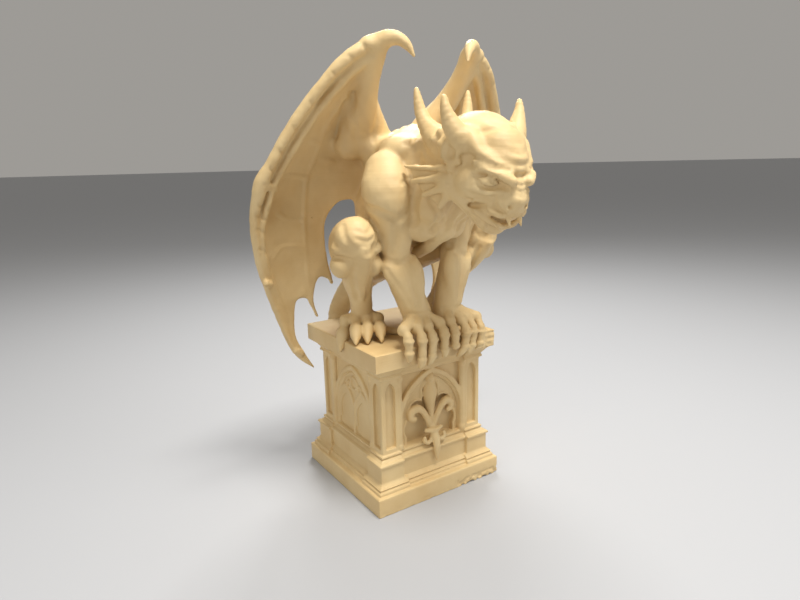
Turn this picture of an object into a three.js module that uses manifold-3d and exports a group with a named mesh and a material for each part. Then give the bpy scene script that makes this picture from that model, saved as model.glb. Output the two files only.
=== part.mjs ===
// A printed gargoyle that crouches on a square Gothic plinth.
// Millimetres, +Z up. The origin is the centre of the plinth's underside, and the face looks along -Y.
import * as THREE from "three";
import { mergeVertices } from "three/addons/utils/BufferGeometryUtils.js";
import Module from "manifold-3d";

const wasm = await Module();
wasm.setup();

// Plinth heights, from the ground up
const baseBlockHeight = 9;
const lowerMouldHeight = 4.4;
const bandHeight = 8.2;
const upperMouldHeight = 4.4;
const shaftHeight = 35;
const capitalHeight = 6.2;
const slabHeight = 8.1;

// Plinth widths across two opposite faces
const baseWidth = 70;
const lowerMouldWidth = 67;
const bandWidth = 62;
const pierWidth = 56.6;
const slabWidth = 67.2;

// Plinth setbacks and carving depths
const cornerStep = 1.5;
const edgeBevel = 0.6;
const pierFace = 10;
const bandCorner = 12.5;
const mouldCorner = 18;
const frontRecess = 5.2;
const sideRecess = 2.4;
const wallSetback = 1.3;
const tracery = 1.2;
const shaftRadius = 1.4;
const panelWidth = 4.6;
const panelDepth = 0.8;
const panelMargin = 2.4;
const archSpringShare = 0.28;
const hoodWidth = 1.7;
const hoodDrop = 8;
const hoodSetback = 0.3;
const orderStep = 1.2;
const orderSetback = 0.9;
const plateSetback = 0.6;
const foilFall = 3.2;
const frameWidth = 2;
const flowerMargin = 4.5;
const flowerSteps = 24;
const flowerSetback = 1.8;

// Figure
const figureHeight = 130;
const figureSteps = 130;
const midlineOffset = 3;
const restingGap = 0.3;
const fingerClearance = 0.5;
const membraneThickness = 1.8;
const ribHalf = 1.7;
const fingerBand = 5;
const webSag = 0.05;
const ringSides = 7;
const arcSteps = 4;

// Levels and half widths that follow from the sizes above
const lowerMouldBase = baseBlockHeight;
const bandBase = lowerMouldBase + lowerMouldHeight;
const upperMouldBase = bandBase + bandHeight;
const shaftBase = upperMouldBase + upperMouldHeight;
const capitalBase = shaftBase + shaftHeight;
const slabBase = capitalBase + capitalHeight;
const slabTop = slabBase + slabHeight;
const pierHalf = pierWidth / 2;
const wallHalf = pierHalf - wallSetback;
const slabHalf = slabWidth / 2;
const step = figureHeight / figureSteps;

const printed = new THREE.MeshStandardMaterial({ color: 0xdcc594, roughness: 0.55, metalness: 0 });

// Solids from geometries and back

function toSolid(geometry) {
  const bare = geometry.clone();
  for (const name of ["normal", "uv"]) bare.deleteAttribute(name);
  const merged = mergeVertices(bare, 1e-4);
  const index = merged.index.array;
  const kept = [];
  for (let i = 0; i < index.length; i += 3) {
    const [a, b, c] = [index[i], index[i + 1], index[i + 2]];
    if (a !== b && b !== c && c !== a) kept.push(a, b, c);
  }
  const vertProperties = new Float32Array(merged.attributes.position.array);
  return new wasm.Manifold(new wasm.Mesh({ numProp: 3, vertProperties, triVerts: new Uint32Array(kept) }));
}

function joined(geometries) {
  return geometries.map(toSolid).reduce((whole, next) => whole.add(next));
}

// The faces without those of closed pockets between limbs, whose shells face inward.
function outerFaces(points, faces) {
  const parent = Array.from({ length: points.length / 3 }, (_, i) => i);
  const root = (start) => {
    let i = start;
    while (parent[i] !== i) i = parent[i];
    return i;
  };
  for (let i = 0; i < faces.length; i += 3) {
    const top = root(faces[i]);
    parent[root(faces[i + 1])] = top;
    parent[root(faces[i + 2])] = top;
  }
  const corner = (i) => new THREE.Vector3().fromArray(points, 3 * i);
  const volumes = new Map();
  for (let i = 0; i < faces.length; i += 3) {
    const [a, b, c] = [corner(faces[i]), corner(faces[i + 1]), corner(faces[i + 2])];
    const shell = root(faces[i]);
    volumes.set(shell, (volumes.get(shell) ?? 0) + a.dot(b.cross(c)));
  }
  const outer = [];
  for (let i = 0; i < faces.length; i += 3) {
    if (volumes.get(root(faces[i])) > 0) outer.push(faces[i], faces[i + 1], faces[i + 2]);
  }
  return outer;
}

function toMesh(solid, name) {
  const { vertProperties, triVerts } = solid.getMesh();
  const geometry = new THREE.BufferGeometry();
  geometry.setAttribute("position", new THREE.BufferAttribute(vertProperties, 3));
  geometry.setIndex(outerFaces(vertProperties, triVerts));
  geometry.computeVertexNormals();
  const mesh = new THREE.Mesh(geometry, printed);
  mesh.name = name;
  return mesh;
}

// Plinth

// A square stack of mouldings: each profile point is a half width and a level.
function squareTurn(profile) {
  const points = profile.map(([half, level]) => new THREE.Vector2(half * Math.SQRT2, level));
  return new THREE.LatheGeometry(points, 4, Math.PI / 4).rotateX(Math.PI / 2);
}

// Four square posts that stand inside the corners of a square, each as wide as its share of a face.
function cornerPosts(half, width, bottom, top) {
  const posts = [];
  for (const x of [-1, 1]) {
    for (const y of [-1, 1]) {
      const post = new THREE.BoxGeometry(width, width, top - bottom);
      const reach = half - width / 2;
      posts.push(post.translate(x * reach, y * reach, (top + bottom) / 2));
    }
  }
  return posts;
}

function lowerMould(half, foot) {
  const rise = lowerMouldHeight;
  return [
    [half, foot],
    [half, foot + 0.3 * rise],
    [half - 0.12 * rise, foot + 0.42 * rise],
    [half - 0.14 * rise, foot + 0.62 * rise],
    [half - 0.38 * rise, foot + 0.86 * rise],
  ];
}

function upperMould(bandHalf, topHalf, foot) {
  const rise = upperMouldHeight;
  const drop = bandHalf - topHalf;
  const lip = 0.12 * rise;
  const bead = 0.16 * rise;
  return [
    [bandHalf + lip, foot],
    [bandHalf + lip, foot + 0.16 * rise],
    [bandHalf - 0.25 * drop, foot + 0.4 * rise],
    [bandHalf - 0.6 * drop, foot + 0.56 * rise],
    [topHalf + bead, foot + 0.7 * rise],
    [topHalf + bead, foot + 0.84 * rise],
    [topHalf, foot + rise],
  ];
}

function plinthCore() {
  const bandHalf = bandWidth / 2 - cornerStep;
  const wall = pierHalf - frontRecess;
  const profile = [
    [0, 0],
    [baseWidth / 2, 0],
    [baseWidth / 2, baseBlockHeight - edgeBevel],
    [baseWidth / 2 - edgeBevel, baseBlockHeight],
    ...lowerMould(lowerMouldWidth / 2 - cornerStep, lowerMouldBase),
    [bandHalf, bandBase],
    [bandHalf, upperMouldBase],
    ...upperMould(bandHalf, wallHalf, upperMouldBase),
    [wall, shaftBase],
    [wall, capitalBase],
    [wallHalf, capitalBase],
    [wallHalf + 0.13 * capitalHeight, capitalBase + 0.3 * capitalHeight],
    [pierHalf + 0.32 * capitalHeight, slabBase - 0.2 * capitalHeight],
    [slabHalf - 0.23 * capitalHeight, slabBase],
    [slabHalf - edgeBevel, slabBase],
    [slabHalf, slabBase + edgeBevel],
    [slabHalf, slabTop - edgeBevel],
    [slabHalf - edgeBevel, slabTop],
    [0, slabTop],
  ];
  return toSolid(squareTurn(profile));
}

// The mouldings step forward at the corners, under the corner piers.
function plinthCorners() {
  const bandHalf = bandWidth / 2;
  const foot = toSolid(squareTurn([
    [0, lowerMouldBase - edgeBevel],
    [lowerMouldWidth / 2, lowerMouldBase - edgeBevel],
    ...lowerMould(lowerMouldWidth / 2, lowerMouldBase),
    [bandHalf, bandBase],
    [0, bandBase],
  ])).intersect(joined(cornerPosts(baseWidth / 2, mouldCorner, 0, shaftBase)));
  const band = toSolid(squareTurn([
    [0, bandBase - edgeBevel],
    [bandHalf, bandBase - edgeBevel],
    [bandHalf, upperMouldBase],
    ...upperMould(bandHalf, pierHalf, upperMouldBase),
    [0, shaftBase],
  ])).intersect(joined(cornerPosts(bandHalf + edgeBevel, bandCorner, 0, capitalBase)));
  const piers = joined(cornerPosts(pierHalf, pierFace, upperMouldBase, capitalBase + edgeBevel));
  const cap = toSolid(squareTurn([
    [0, capitalBase],
    [pierHalf, capitalBase],
    [pierHalf + 0.15 * capitalHeight, capitalBase + 0.18 * capitalHeight],
    [pierHalf + 0.07 * capitalHeight, capitalBase + 0.3 * capitalHeight],
    [pierHalf + 0.45 * capitalHeight, slabBase - 0.2 * capitalHeight],
    [slabHalf - 0.16 * capitalHeight, slabBase],
    [slabHalf - 0.16 * capitalHeight, slabBase + edgeBevel],
    [0, slabBase + edgeBevel],
  ])).intersect(joined(cornerPosts(slabHalf, pierFace + slabHalf - pierHalf, 0, slabTop)));
  return foot.add(band).add(piers).add(cap);
}

// Points of a pointed arch, up one leg and down the other.
function archPoints(halfSpan, foot, spring, apex) {
  const rise = apex - spring;
  const radius = (rise * rise + halfSpan * halfSpan) / (2 * halfSpan);
  const sweep = Math.asin(rise / radius);
  const right = [];
  for (let i = 0; i <= arcSteps; i += 1) {
    const angle = (sweep * i) / arcSteps;
    right.push([halfSpan - radius + radius * Math.cos(angle), spring + radius * Math.sin(angle)]);
  }
  const left = right.slice(0, arcSteps).reverse().map(([x, z]) => [-x, z]);
  return [[halfSpan, foot], ...right, ...left, [-halfSpan, foot]].map(([x, z]) => new THREE.Vector2(x, z));
}

// Something drawn on a face, x to the right and z up, that stands from one depth out to another.
function standing(outline, holes, inner, outer) {
  const shape = new THREE.Shape(outline);
  shape.holes = holes.map((points) => new THREE.Path(points));
  const plate = new THREE.ExtrudeGeometry(shape, { depth: outer - inner, bevelEnabled: false });
  return plate.rotateX(Math.PI / 2).translate(0, -inner, 0);
}

function archRib(halfSpan, width, foot, spring, apex, inner, outer, centre = 0) {
  const outside = archPoints(halfSpan + width / 2, foot, spring, apex + width / 2);
  const inside = archPoints(halfSpan - width / 2, foot - 1, spring, apex - width / 2).reverse();
  const outline = [...outside, ...inside.map((point) => new THREE.Vector2(point.x, Math.max(point.y, foot)))];
  return standing(outline, [], inner, outer).translate(centre, 0, 0);
}

// A wall plate between the piers with a pointed opening down to its foot.
function archedWall(halfSpan, spring, apex, inner, outer) {
  const half = pierHalf - pierFace + 3;
  const foot = upperMouldBase;
  const top = capitalBase + edgeBevel;
  const opening = archPoints(halfSpan, foot, spring, apex);
  const outline = [[half, foot], [half, top], [-half, top], [-half, foot]].map(([x, z]) => new THREE.Vector2(x, z));
  return standing([...outline, ...opening.reverse()], [], inner, outer);
}

const openingHalf = pierHalf - pierFace + 0.6;
const plateHalf = openingHalf - 2 * orderStep;
const flowerWidth = 2 * (plateHalf - flowerMargin);
const openingSpring = shaftBase + archSpringShare * shaftHeight;
const openingApex = capitalBase - 0.4;

function cornerShafts() {
  const offset = pierHalf - pierFace;
  const height = capitalBase - shaftBase + 1;
  return [-1, 1].map((side) => new THREE.CylinderGeometry(shaftRadius, shaftRadius, height, 6)
    .rotateX(Math.PI / 2)
    .translate(side * offset, -(pierHalf - shaftRadius * 0.9), (capitalBase + shaftBase) / 2));
}

// Narrow sunk lancet panels on the outer faces of the two piers of a face.
function sunkPanels() {
  const foot = shaftBase + panelMargin;
  const apex = capitalBase - panelMargin;
  const spring = apex - panelWidth;
  const outline = archPoints(panelWidth / 2, foot, spring, apex);
  const centre = pierHalf - pierFace / 2;
  return [-1, 1].map((side) => standing(outline, [], pierHalf - panelDepth, pierHalf + 1).translate(side * centre, 0, 0));
}

// The shallow faces: two lancets under a large arch, with an eye between their heads.
function sideFace() {
  const field = pierHalf - sideRecess;
  const proud = field + tracery;
  const half = openingHalf - 1;
  const filling = new THREE.BoxGeometry(2 * openingHalf, frontRecess, capitalBase - upperMouldBase)
    .translate(0, -(field - frontRecess / 2), (capitalBase + upperMouldBase) / 2);
  const lancetApex = openingSpring + 0.34 * shaftHeight;
  const pieces = [
    filling,
    archedWall(openingHalf, openingSpring, openingApex, field - 1, wallHalf),
    archRib(half, tracery, upperMouldBase, openingSpring, openingApex - 1.4, field - 1, proud),
    new THREE.BoxGeometry(tracery, 2, openingSpring + 2 - upperMouldBase)
      .translate(0, -(proud - 1), (openingSpring + 2 + upperMouldBase) / 2),
  ];
  for (const side of [-1, 1]) {
    const span = half / 2;
    pieces.push(archRib(span, tracery, upperMouldBase, openingSpring, lancetApex, field - 1, proud, side * span));
  }
  const eyeLevel = lancetApex + 2.2;
  const eye = new THREE.TorusGeometry(2.9, tracery / 2, 4, 12).rotateX(Math.PI / 2).translate(0, -field, eyeLevel);
  return [...pieces, eye, ...cornerShafts()];
}

// The front face: receding arch orders and a plate cut into foils.
function frontFace() {
  const field = pierHalf - frontRecess;
  const inner = field - 1;
  const foot = upperMouldBase;
  const pieces = [
    archedWall(openingHalf + 0.6, openingSpring, openingApex + 0.4, inner, wallHalf),
    archRib(openingHalf + hoodWidth / 2, hoodWidth, openingSpring - hoodDrop, openingSpring,
      openingApex + hoodWidth / 2, inner, pierHalf - hoodSetback),
  ];
  for (let order = 0; order < 2; order += 1) {
    const inset = order * orderStep;
    const outer = wallHalf - orderSetback * (order + 1);
    pieces.push(archRib(openingHalf - inset, orderStep, foot, openingSpring, openingApex - inset, inner, outer));
  }
  const plateApex = openingApex - 1.6 * orderStep;
  const plateShape = archPoints(plateHalf, foot, openingSpring, plateApex);
  const plate = toSolid(standing(plateShape, [], inner, wallHalf - plateSetback));
  const legTop = openingSpring - foilFall;
  const foils = [
    { x: 0, z: plateApex - 0.51 * plateHalf, radius: 0.3 * plateHalf },
    { x: 0, z: plateApex - 0.82 * plateHalf, radius: 0.27 * plateHalf },
    { x: 0.44 * plateHalf, z: openingSpring + 0.32 * plateHalf, radius: 0.32 * plateHalf },
    { x: 0.56 * plateHalf, z: legTop, radius: 0.34 * plateHalf },
    { x: 0, z: openingSpring, radius: 0.45 * plateHalf },
  ];
  const sides = foils.flatMap(({ x, z, radius }) => (x > 0 ? [[x, z, radius], [-x, z, radius]] : [[x, z, radius]]));
  const cutDepth = frontRecess + 1;
  const cutters = sides.map(([x, z, radius]) => new THREE.CylinderGeometry(radius, radius, cutDepth, 12)
    .translate(x, -(field + cutDepth / 2), z));
  const legs = new THREE.BoxGeometry(2 * (plateHalf - frameWidth), cutDepth, legTop - foot)
    .translate(0, -(field + cutDepth / 2), (legTop + foot) / 2);
  const opened = [...cutters, legs].reduce((whole, cutter) => whole.subtract(toSolid(cutter)), plate);
  return joined([...pieces, ...cornerShafts()]).add(opened).add(joined(fleurDeLis()));
}

// The flower hangs in front of the opening: petal, two curled leaves, a clasp and a long pendant.
// Its points are on a grid of flowerSteps from leaf to leaf: x, how far out of the pier, the level and a radius.
function fleurDeLis() {
  const cell = flowerWidth / flowerSteps;
  const level = (share) => shaftBase + share * shaftHeight;
  const front = pierHalf - flowerSetback;
  const stem = (joints, sides) => limb(joints.map(([x, out, share, radius]) => (
    [x * cell, -front - out * cell, level(share), radius * cell])), sides);
  const petalProfile = [
    [0, 0.18], [1.6, 0.34], [3.6, 0.55], [4.3, 0.66], [3.4, 0.77], [2.3, 0.8],
    [3, 0.86], [2.1, 0.91], [0, 0.96],
  ].map(([radius, share]) => new THREE.Vector2(radius * cell, level(share)));
  const petal = new THREE.LatheGeometry(petalProfile, 8).rotateX(Math.PI / 2).scale(1, 0.62, 1).translate(0, -front, 0);
  const leaf = stem([
    [0.8, 0.6, 0.18, 1.5], [3.4, 1.4, 0.36, 1.8], [7.6, 1.6, 0.49, 2.1], [11, 0.6, 0.47, 1.8], [11.6, 0, 0.38, 1.3],
  ], 6);
  const clasp = new THREE.SphereGeometry(cell, 8, 5).scale(5.4, 2.2, 1.5).translate(0, -front - 3.2 * cell, level(0.15));
  const pendant = stem([
    [0, 0, 0.2, 2.4], [0, 3, 0.11, 2.5], [0, 4.8, -0.04, 2], [0, 4.7, -0.16, 1.5], [0, 4.3, -0.27, 0.5],
  ], 6);
  const curl = stem([[0.8, 3.2, 0.09, 1.1], [4, 4, 0.02, 1.2], [6.2, 3.4, 0.08, 0.9]], 5);
  return [petal, leaf, mirrored(leaf), clasp, pendant, curl, mirrored(curl)];
}

function buildPlinth() {
  let plinth = plinthCore().add(plinthCorners()).add(frontFace());
  for (let turn = 0; turn < 4; turn += 1) {
    const turned = (geometries) => joined(geometries.map((geometry) => geometry.rotateZ((turn * Math.PI) / 2)));
    if (turn > 0) plinth = plinth.add(turned(sideFace()));
    plinth = plinth.subtract(turned(sunkPanels()));
  }
  return plinth;
}

// Figure. Its points are on a grid of figureSteps from the slab to the wing tops:
// x outward from the figure's midline, y back, z up from the slab.

// A closed limb through joints, each a point and a radius, with round ends.
function limb(joints, sides = ringSides, ringsPerJoint = 1) {
  const path = new THREE.CatmullRomCurve3(joints.map(([x, y, z]) => new THREE.Vector3(x, y, z)), false, "centripetal");
  const count = (joints.length - 1) * ringsPerJoint;
  const rings = [];
  let normal = null;
  for (let i = 0; i <= count; i += 1) {
    const share = i / count;
    const tangent = path.getTangent(share);
    normal = normal ?? new THREE.Vector3(0.31, 0.52, 0.79).cross(tangent);
    normal.addScaledVector(tangent, -normal.dot(tangent)).normalize();
    const place = share * (joints.length - 1);
    const before = Math.min(Math.floor(place), joints.length - 2);
    const radius = THREE.MathUtils.lerp(joints[before][3], joints[before + 1][3], place - before);
    rings.push({ centre: path.getPoint(share), tangent, normal: normal.clone(), radius });
  }
  const capAngle = Math.PI / 5;
  const capped = (ring, way) => ({
    ...ring,
    centre: ring.centre.clone().addScaledVector(ring.tangent, way * ring.radius * Math.sin(capAngle)),
    radius: ring.radius * Math.cos(capAngle),
  });
  const first = rings[0];
  const last = rings[count];
  const all = [capped(first, -1), ...rings, capped(last, 1)];
  const points = [];
  for (const ring of all) {
    const across = ring.tangent.clone().cross(ring.normal);
    for (let j = 0; j < sides; j += 1) {
      const angle = (2 * Math.PI * j) / sides;
      const point = ring.centre.clone().addScaledVector(ring.normal, ring.radius * Math.cos(angle));
      points.push(point.addScaledVector(across, ring.radius * Math.sin(angle)));
    }
  }
  const start = points.length;
  points.push(first.centre.clone().addScaledVector(first.tangent, -first.radius));
  points.push(last.centre.clone().addScaledVector(last.tangent, last.radius));
  const faces = [];
  for (let i = 0; i < all.length - 1; i += 1) {
    for (let j = 0; j < sides; j += 1) {
      const [a, b] = [i * sides + j, i * sides + ((j + 1) % sides)];
      faces.push(a, b, a + sides, b, b + sides, a + sides);
    }
  }
  const lastRing = (all.length - 1) * sides;
  for (let j = 0; j < sides; j += 1) {
    const next = (j + 1) % sides;
    faces.push(start, next, j, start + 1, lastRing + j, lastRing + next);
  }
  return new THREE.BufferGeometry().setFromPoints(points).setIndex(faces);
}

function lump([x, y, z], [width, depth, height], turn = 0) {
  return new THREE.SphereGeometry(1, 8, 5).rotateX(Math.PI / 2).scale(width, depth, height).rotateX(turn).translate(x, y, z);
}

// A closed thin sheet through rows of points, with a thickness for each column.
function sheet(rows, thicknesses) {
  const columns = rows[0].length;
  const size = rows.length * columns;
  const at = (r, c) => rows[THREE.MathUtils.clamp(r, 0, rows.length - 1)][THREE.MathUtils.clamp(c, 0, columns - 1)];
  const front = [];
  const back = [];
  for (let r = 0; r < rows.length; r += 1) {
    for (let c = 0; c < columns; c += 1) {
      const down = at(r + 1, c).clone().sub(at(r - 1, c));
      const across = at(r, c + 1).clone().sub(at(r, c - 1));
      const normal = down.cross(across).normalize().multiplyScalar(thicknesses[c] / 2);
      front.push(at(r, c).clone().add(normal));
      back.push(at(r, c).clone().sub(normal));
    }
  }
  const faces = [];
  const quad = (a, b, c, d) => faces.push(a, b, c, a, c, d);
  for (let r = 0; r < rows.length - 1; r += 1) {
    for (let c = 0; c < columns - 1; c += 1) {
      const a = r * columns + c;
      const [b, e, d] = [a + 1, a + columns + 1, a + columns];
      quad(a, d, e, b);
      quad(a + size, b + size, e + size, d + size);
    }
  }
  const edge = [];
  for (let c = 0; c < columns - 1; c += 1) edge.push(c);
  for (let r = 0; r < rows.length - 1; r += 1) edge.push(r * columns + columns - 1);
  for (let c = columns - 1; c > 0; c -= 1) edge.push((rows.length - 1) * columns + c);
  for (let r = rows.length - 1; r > 0; r -= 1) edge.push(r * columns);
  edge.forEach((a, i) => {
    const b = edge[(i + 1) % edge.length];
    quad(a, b, b + size, a + size);
  });
  return new THREE.BufferGeometry().setFromPoints([...front, ...back]).setIndex(faces);
}

function mirrored(geometry) {
  const flipped = (geometry.index ? geometry : mergeVertices(geometry)).clone().scale(-1, 1, 1);
  const index = flipped.index.array;
  for (let i = 0; i < index.length; i += 3) [index[i], index[i + 1]] = [index[i + 1], index[i]];
  return flipped;
}

// Points across the web: the leading edge, its two ridges side by side, then skin to the next edge.
function bandPoints(outer, edge, taper) {
  const from = new THREE.Vector3(...outer);
  const to = new THREE.Vector3(...edge);
  const width = from.distanceTo(to);
  const band = Math.min(fingerBand * taper, width / 2.2);
  const way = to.clone().sub(from).normalize();
  const ridges = [-0.6, 0, 0.5, 1, 1.5].map((offset) => from.clone().addScaledVector(way, offset * band));
  const middle = from.clone().lerp(to, 0.5 + (0.75 * band) / width);
  middle.y += webSag * width;
  return [...ridges, middle];
}

const bandThicknesses = [1, 5.4, 3, 4.6, membraneThickness, membraneThickness];

// The web across the rib, from the leading edge to the body and the trailing edge.
function upperWeb(rows) {
  const skin = membraneThickness;
  return sheet(rows.map(([outer, rib, inner], r) => {
    const crest = new THREE.Vector3(...rib);
    const end = new THREE.Vector3(...inner);
    const beside = crest.clone().lerp(end, Math.min(0.3, (1.6 * ribHalf) / crest.distanceTo(end)));
    const middle = crest.clone().lerp(end, 0.6);
    middle.y += webSag * crest.distanceTo(end);
    return [...bandPoints(outer, rib, 1 - 0.03 * r), crest, beside, middle, end];
  }), [...bandThicknesses, 2.2 * ribHalf, skin, skin, skin]);
}

// The web below the rib's end, where the leading finger runs on alone.
function lowerWeb(rows) {
  return sheet(rows.map(([outer, inner], r) => {
    const points = bandPoints(outer, inner, 0.65 - 0.04 * r);
    return [...points, new THREE.Vector3(...inner)];
  }), [...bandThicknesses, membraneThickness]);
}

function wing() {
  const arm = limb([[8, 2, 82, 9], [15, -1, 94, 7.4], [22.3, -8, 105, 5.6], [24, -16, 115, 4.8], [24.3, -22.5, 124, 5]]);
  const claw = limb([[24, -24, 125, 3.6], [19.5, -28.5, 126.4, 2.8], [15.9, -31, 124, 1.9], [13.7, -33, 119.2, 0.5]], 6);
  const muscle = lump([23, 3, 85.5], [8.5, 5.5, 7]);
  const leadingTip = limb([[48.4, 26, -8, 2.4], [43.4, 26, -14.8, 1.9], [38.7, 24, -20.5, 0.4]], 6);
  const ribTip = limb([[39.8, 22.8, 25, 1.5], [39, 24, 15, 1.4], [35.3, 24, 5.7, 0.4]], 5);
  const trailingTip = limb([[30.4, 21.8, 33.5, 1.1], [31.6, 22.8, 27, 1.5], [27.4, 23, 22.2, 0.5]], 5);
  const upper = upperWeb([
    [[26.5, -22.5, 125.2], [25, -20.5, 118], [23, -19, 115]],
    [[41.3, -16.5, 114], [29.4, -10, 110.3], [22, -8, 104]],
    [[51, -10, 101.2], [32.7, -3.5, 103.2], [16, 0, 96]],
    [[58, -5, 89.8], [36.7, 2, 95], [11, 3, 88]],
    [[66.8, 3, 71.6], [41.6, 12, 75], [8, 6, 72]],
    [[68.3, 6.5, 63], [42.1, 16, 66], [12, 8, 61]],
    [[68.7, 9, 55.8], [42.1, 17, 59.3], [26.1, 13, 62.5]],
    [[68.3, 10.7, 51], [41.6, 18.5, 51], [31.4, 17.5, 53.5]],
    [[67.4, 12.5, 46], [41.2, 20, 43.5], [32, 19.5, 44.8]],
    [[64.3, 17, 33.6], [40.1, 22, 29.2], [29.9, 22, 32.4]],
    [[61.8, 19.3, 26.4], [39.7, 23.2, 20.5], [33.8, 23, 24]],
  ]);
  const lower = lowerWeb([
    [[62.6, 18.7, 29], [41.5, 22.5, 25]],
    [[59.1, 21.5, 19.6], [44.4, 23.5, 15.7]],
    [[56.4, 23.4, 12], [46.3, 24, 11]],
    [[53.5, 25, 5], [46.9, 25.5, 3.9]],
    [[48.4, 26, -8], [45.5, 26, -5.5]],
  ]);
  return [arm, claw, muscle, leadingTip, ribTip, trailingTip, upper, lower];
}

function torso() {
  const slim = 0.8;
  const trunk = limb([[0, 21, 36, 16], [0, 9, 52, 20], [0, -9, 68, 25], [0, -24, 72, 20.5], [0, -38, 79, 15], [0, -50, 83, 13]], 12, 2)
    .scale(slim, 1, 1);
  const tail = limb([
    [1, 26, 27, 9], [5, 35, 18, 7], [10.5, 39.5, 9, 5.8], [15, 40.6, 0, 5], [16, 40, -12, 4.1],
    [12, 39, -23, 3.3], [5, 38.5, -31, 2.4], [-2, 38.5, -34, 0.8],
  ]);
  return [trunk, mirrored(tail)];
}

function trunkSide() {
  return [
    lump([8, -33, 63], [8.5, 10.5, 10.5], 0.5),
    lump([10, -5, 80], [9, 12, 10]),
    limb([[12, -34, 78, 2.8], [18, -57, 77.2, 2]], 8),
    lump([13.5, -46, 70.5], [4.4, 12, 8]),
  ];
}

function head() {
  return [
    lump([0, -56, 83], [16, 16, 15]),
    lump([0, -68, 67], [11.5, 12.5, 10], 0.4),
    lump([0, -78, 64], [4.8, 4, 3.6]),
    lump([0, -69.5, 56], [7.5, 7, 5.2], 0.5),
    lump([0, -74, 76], [5.5, 4, 5]),
  ];
}

function headSide() {
  return [
    limb([[12.5, -69, 78, 3.6], [7.4, -75.4, 76, 4], [2, -75.5, 74, 3.4]], 8),
    limb([[13, -54, 69, 6], [8.4, -62, 59, 5.4], [4, -69.5, 55.5, 5]]),
    lump([10, -62, 70], [6.5, 9, 8]),
    lump([16, -58, 80], [2.4, 5, 6.5], -0.5),
    limb([[13.8, -62, 86, 5.6], [15.6, -61.4, 91, 4.4], [17.4, -60, 97, 2.9], [18.7, -58.4, 102.2, 0.7]]),
    limb([[8, -43, 84, 5.4], [10.6, -38.5, 91.5, 4.2], [11.8, -36.3, 99, 2.7], [13.3, -34, 108, 0.6]]),
  ];
}

function armAndHand(hand) {
  const wrist = [7.9, -24.6, 12.5];
  const pieces = [
    limb([[20, -19.5, 74, 10.4], [20.2, -22, 66, 11.4], [19.2, -22, 57, 8.8]]),
    limb([[19, -21.3, 60, 7.6], [17.6, -21, 47.7, 7.4], [15.9, -20.5, 37, 7]]),
    limb([[15.9, -20.3, 38, 6.8], [14.2, -21.5, 30.5, 7.3], [12.4, -22.3, 24, 6.8], [10.2, -23.4, 17.5, 6.2], [...wrist, 5.6]]),
  ];
  const edge = -(slabHalf + fingerClearance) / step;
  hand.forEach(({ x, knuckle, tip, lean }) => {
    pieces.push(limb([
      [wrist[0] + 0.2 * (x - wrist[0]), wrist[1], wrist[2] - 1, 3.4],
      [x, edge + 1.6, 6.6 + 0.4 * knuckle, 3.3],
      [x, edge - 2.7, knuckle, 2.9],
      [x, edge - 2.9, knuckle - 3.4, 2.2],
      [x, edge - 3, Math.min(knuckle - 5.5, tip + 4), 2.4],
      [x + lean, edge - 2, tip, 0.5],
    ], 5));
  });
  return pieces;
}

function legAndFoot(edge, knuckleShift) {
  const blend = (z) => knuckleShift * (1 - THREE.MathUtils.clamp(z / 48, 0, 1));
  const shifted = (joints) => joints.map(([x, y, z, r]) => [x + blend(z), y, z, r]);
  const pieces = [
    limb([[9, 19, 35, 14.5], [21, 7, 41, 13], [31, -9, 46.5, 10.2], [35, -18, 48.2, 9.2]], 12),
    limb(shifted([
      [35.3, -19.6, 48, 9], [33.8, -15, 38, 9.8], [30.2, -9, 28.5, 8.2], [27, -5.5, 20.5, 6.4],
      [25, -3, 12, 5.8], [23, 2.5, 4.5, 4.8],
    ])),
    lump([39.5 + blend(40), -16, 39], [4.5, 6, 8]),
    lump([29.5 + blend(40), -15.5, 40], [4.5, 6, 8]),
    limb(shifted([[23, -2, 6, 4], [18, -6.5, 3.5, 2.4], [13, -10, 2.4, 1.8], [9, -13.5, 1.4, 0.8]]), 6),
  ];
  const toes = [
    { knuckle: [edge - 3.9, -1.4, 8.4], tip: [edge + 1.9, -5.6, -5] },
    { knuckle: [edge - 7, -5.4, 8.6], tip: [edge - 0.4, -16.6, 0.8] },
    { knuckle: [edge - 12, -7.2, 8.8], tip: [edge - 5.6, -18, 0.8] },
    { knuckle: [edge - 17, -8.6, 8.6], tip: [edge - 11.8, -20, 0.8] },
  ];
  toes.forEach(({ knuckle: [kx, ky, kz], tip: [tx, ty, tz] }) => {
    const between = (share, lift) => [
      THREE.MathUtils.lerp(kx, tx, share), THREE.MathUtils.lerp(ky, ty, share), THREE.MathUtils.lerp(kz, tz, share) + lift,
    ];
    pieces.push(limb([[25 + knuckleShift, -2.5, 12, 3.4], [kx, ky, kz, 3], [...between(0.35, 1.2), 2.8],
      [...between(0.68, 1.2), 2.7], [tx, ty, tz, 0.6]], 5));
  });
  return pieces;
}

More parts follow.
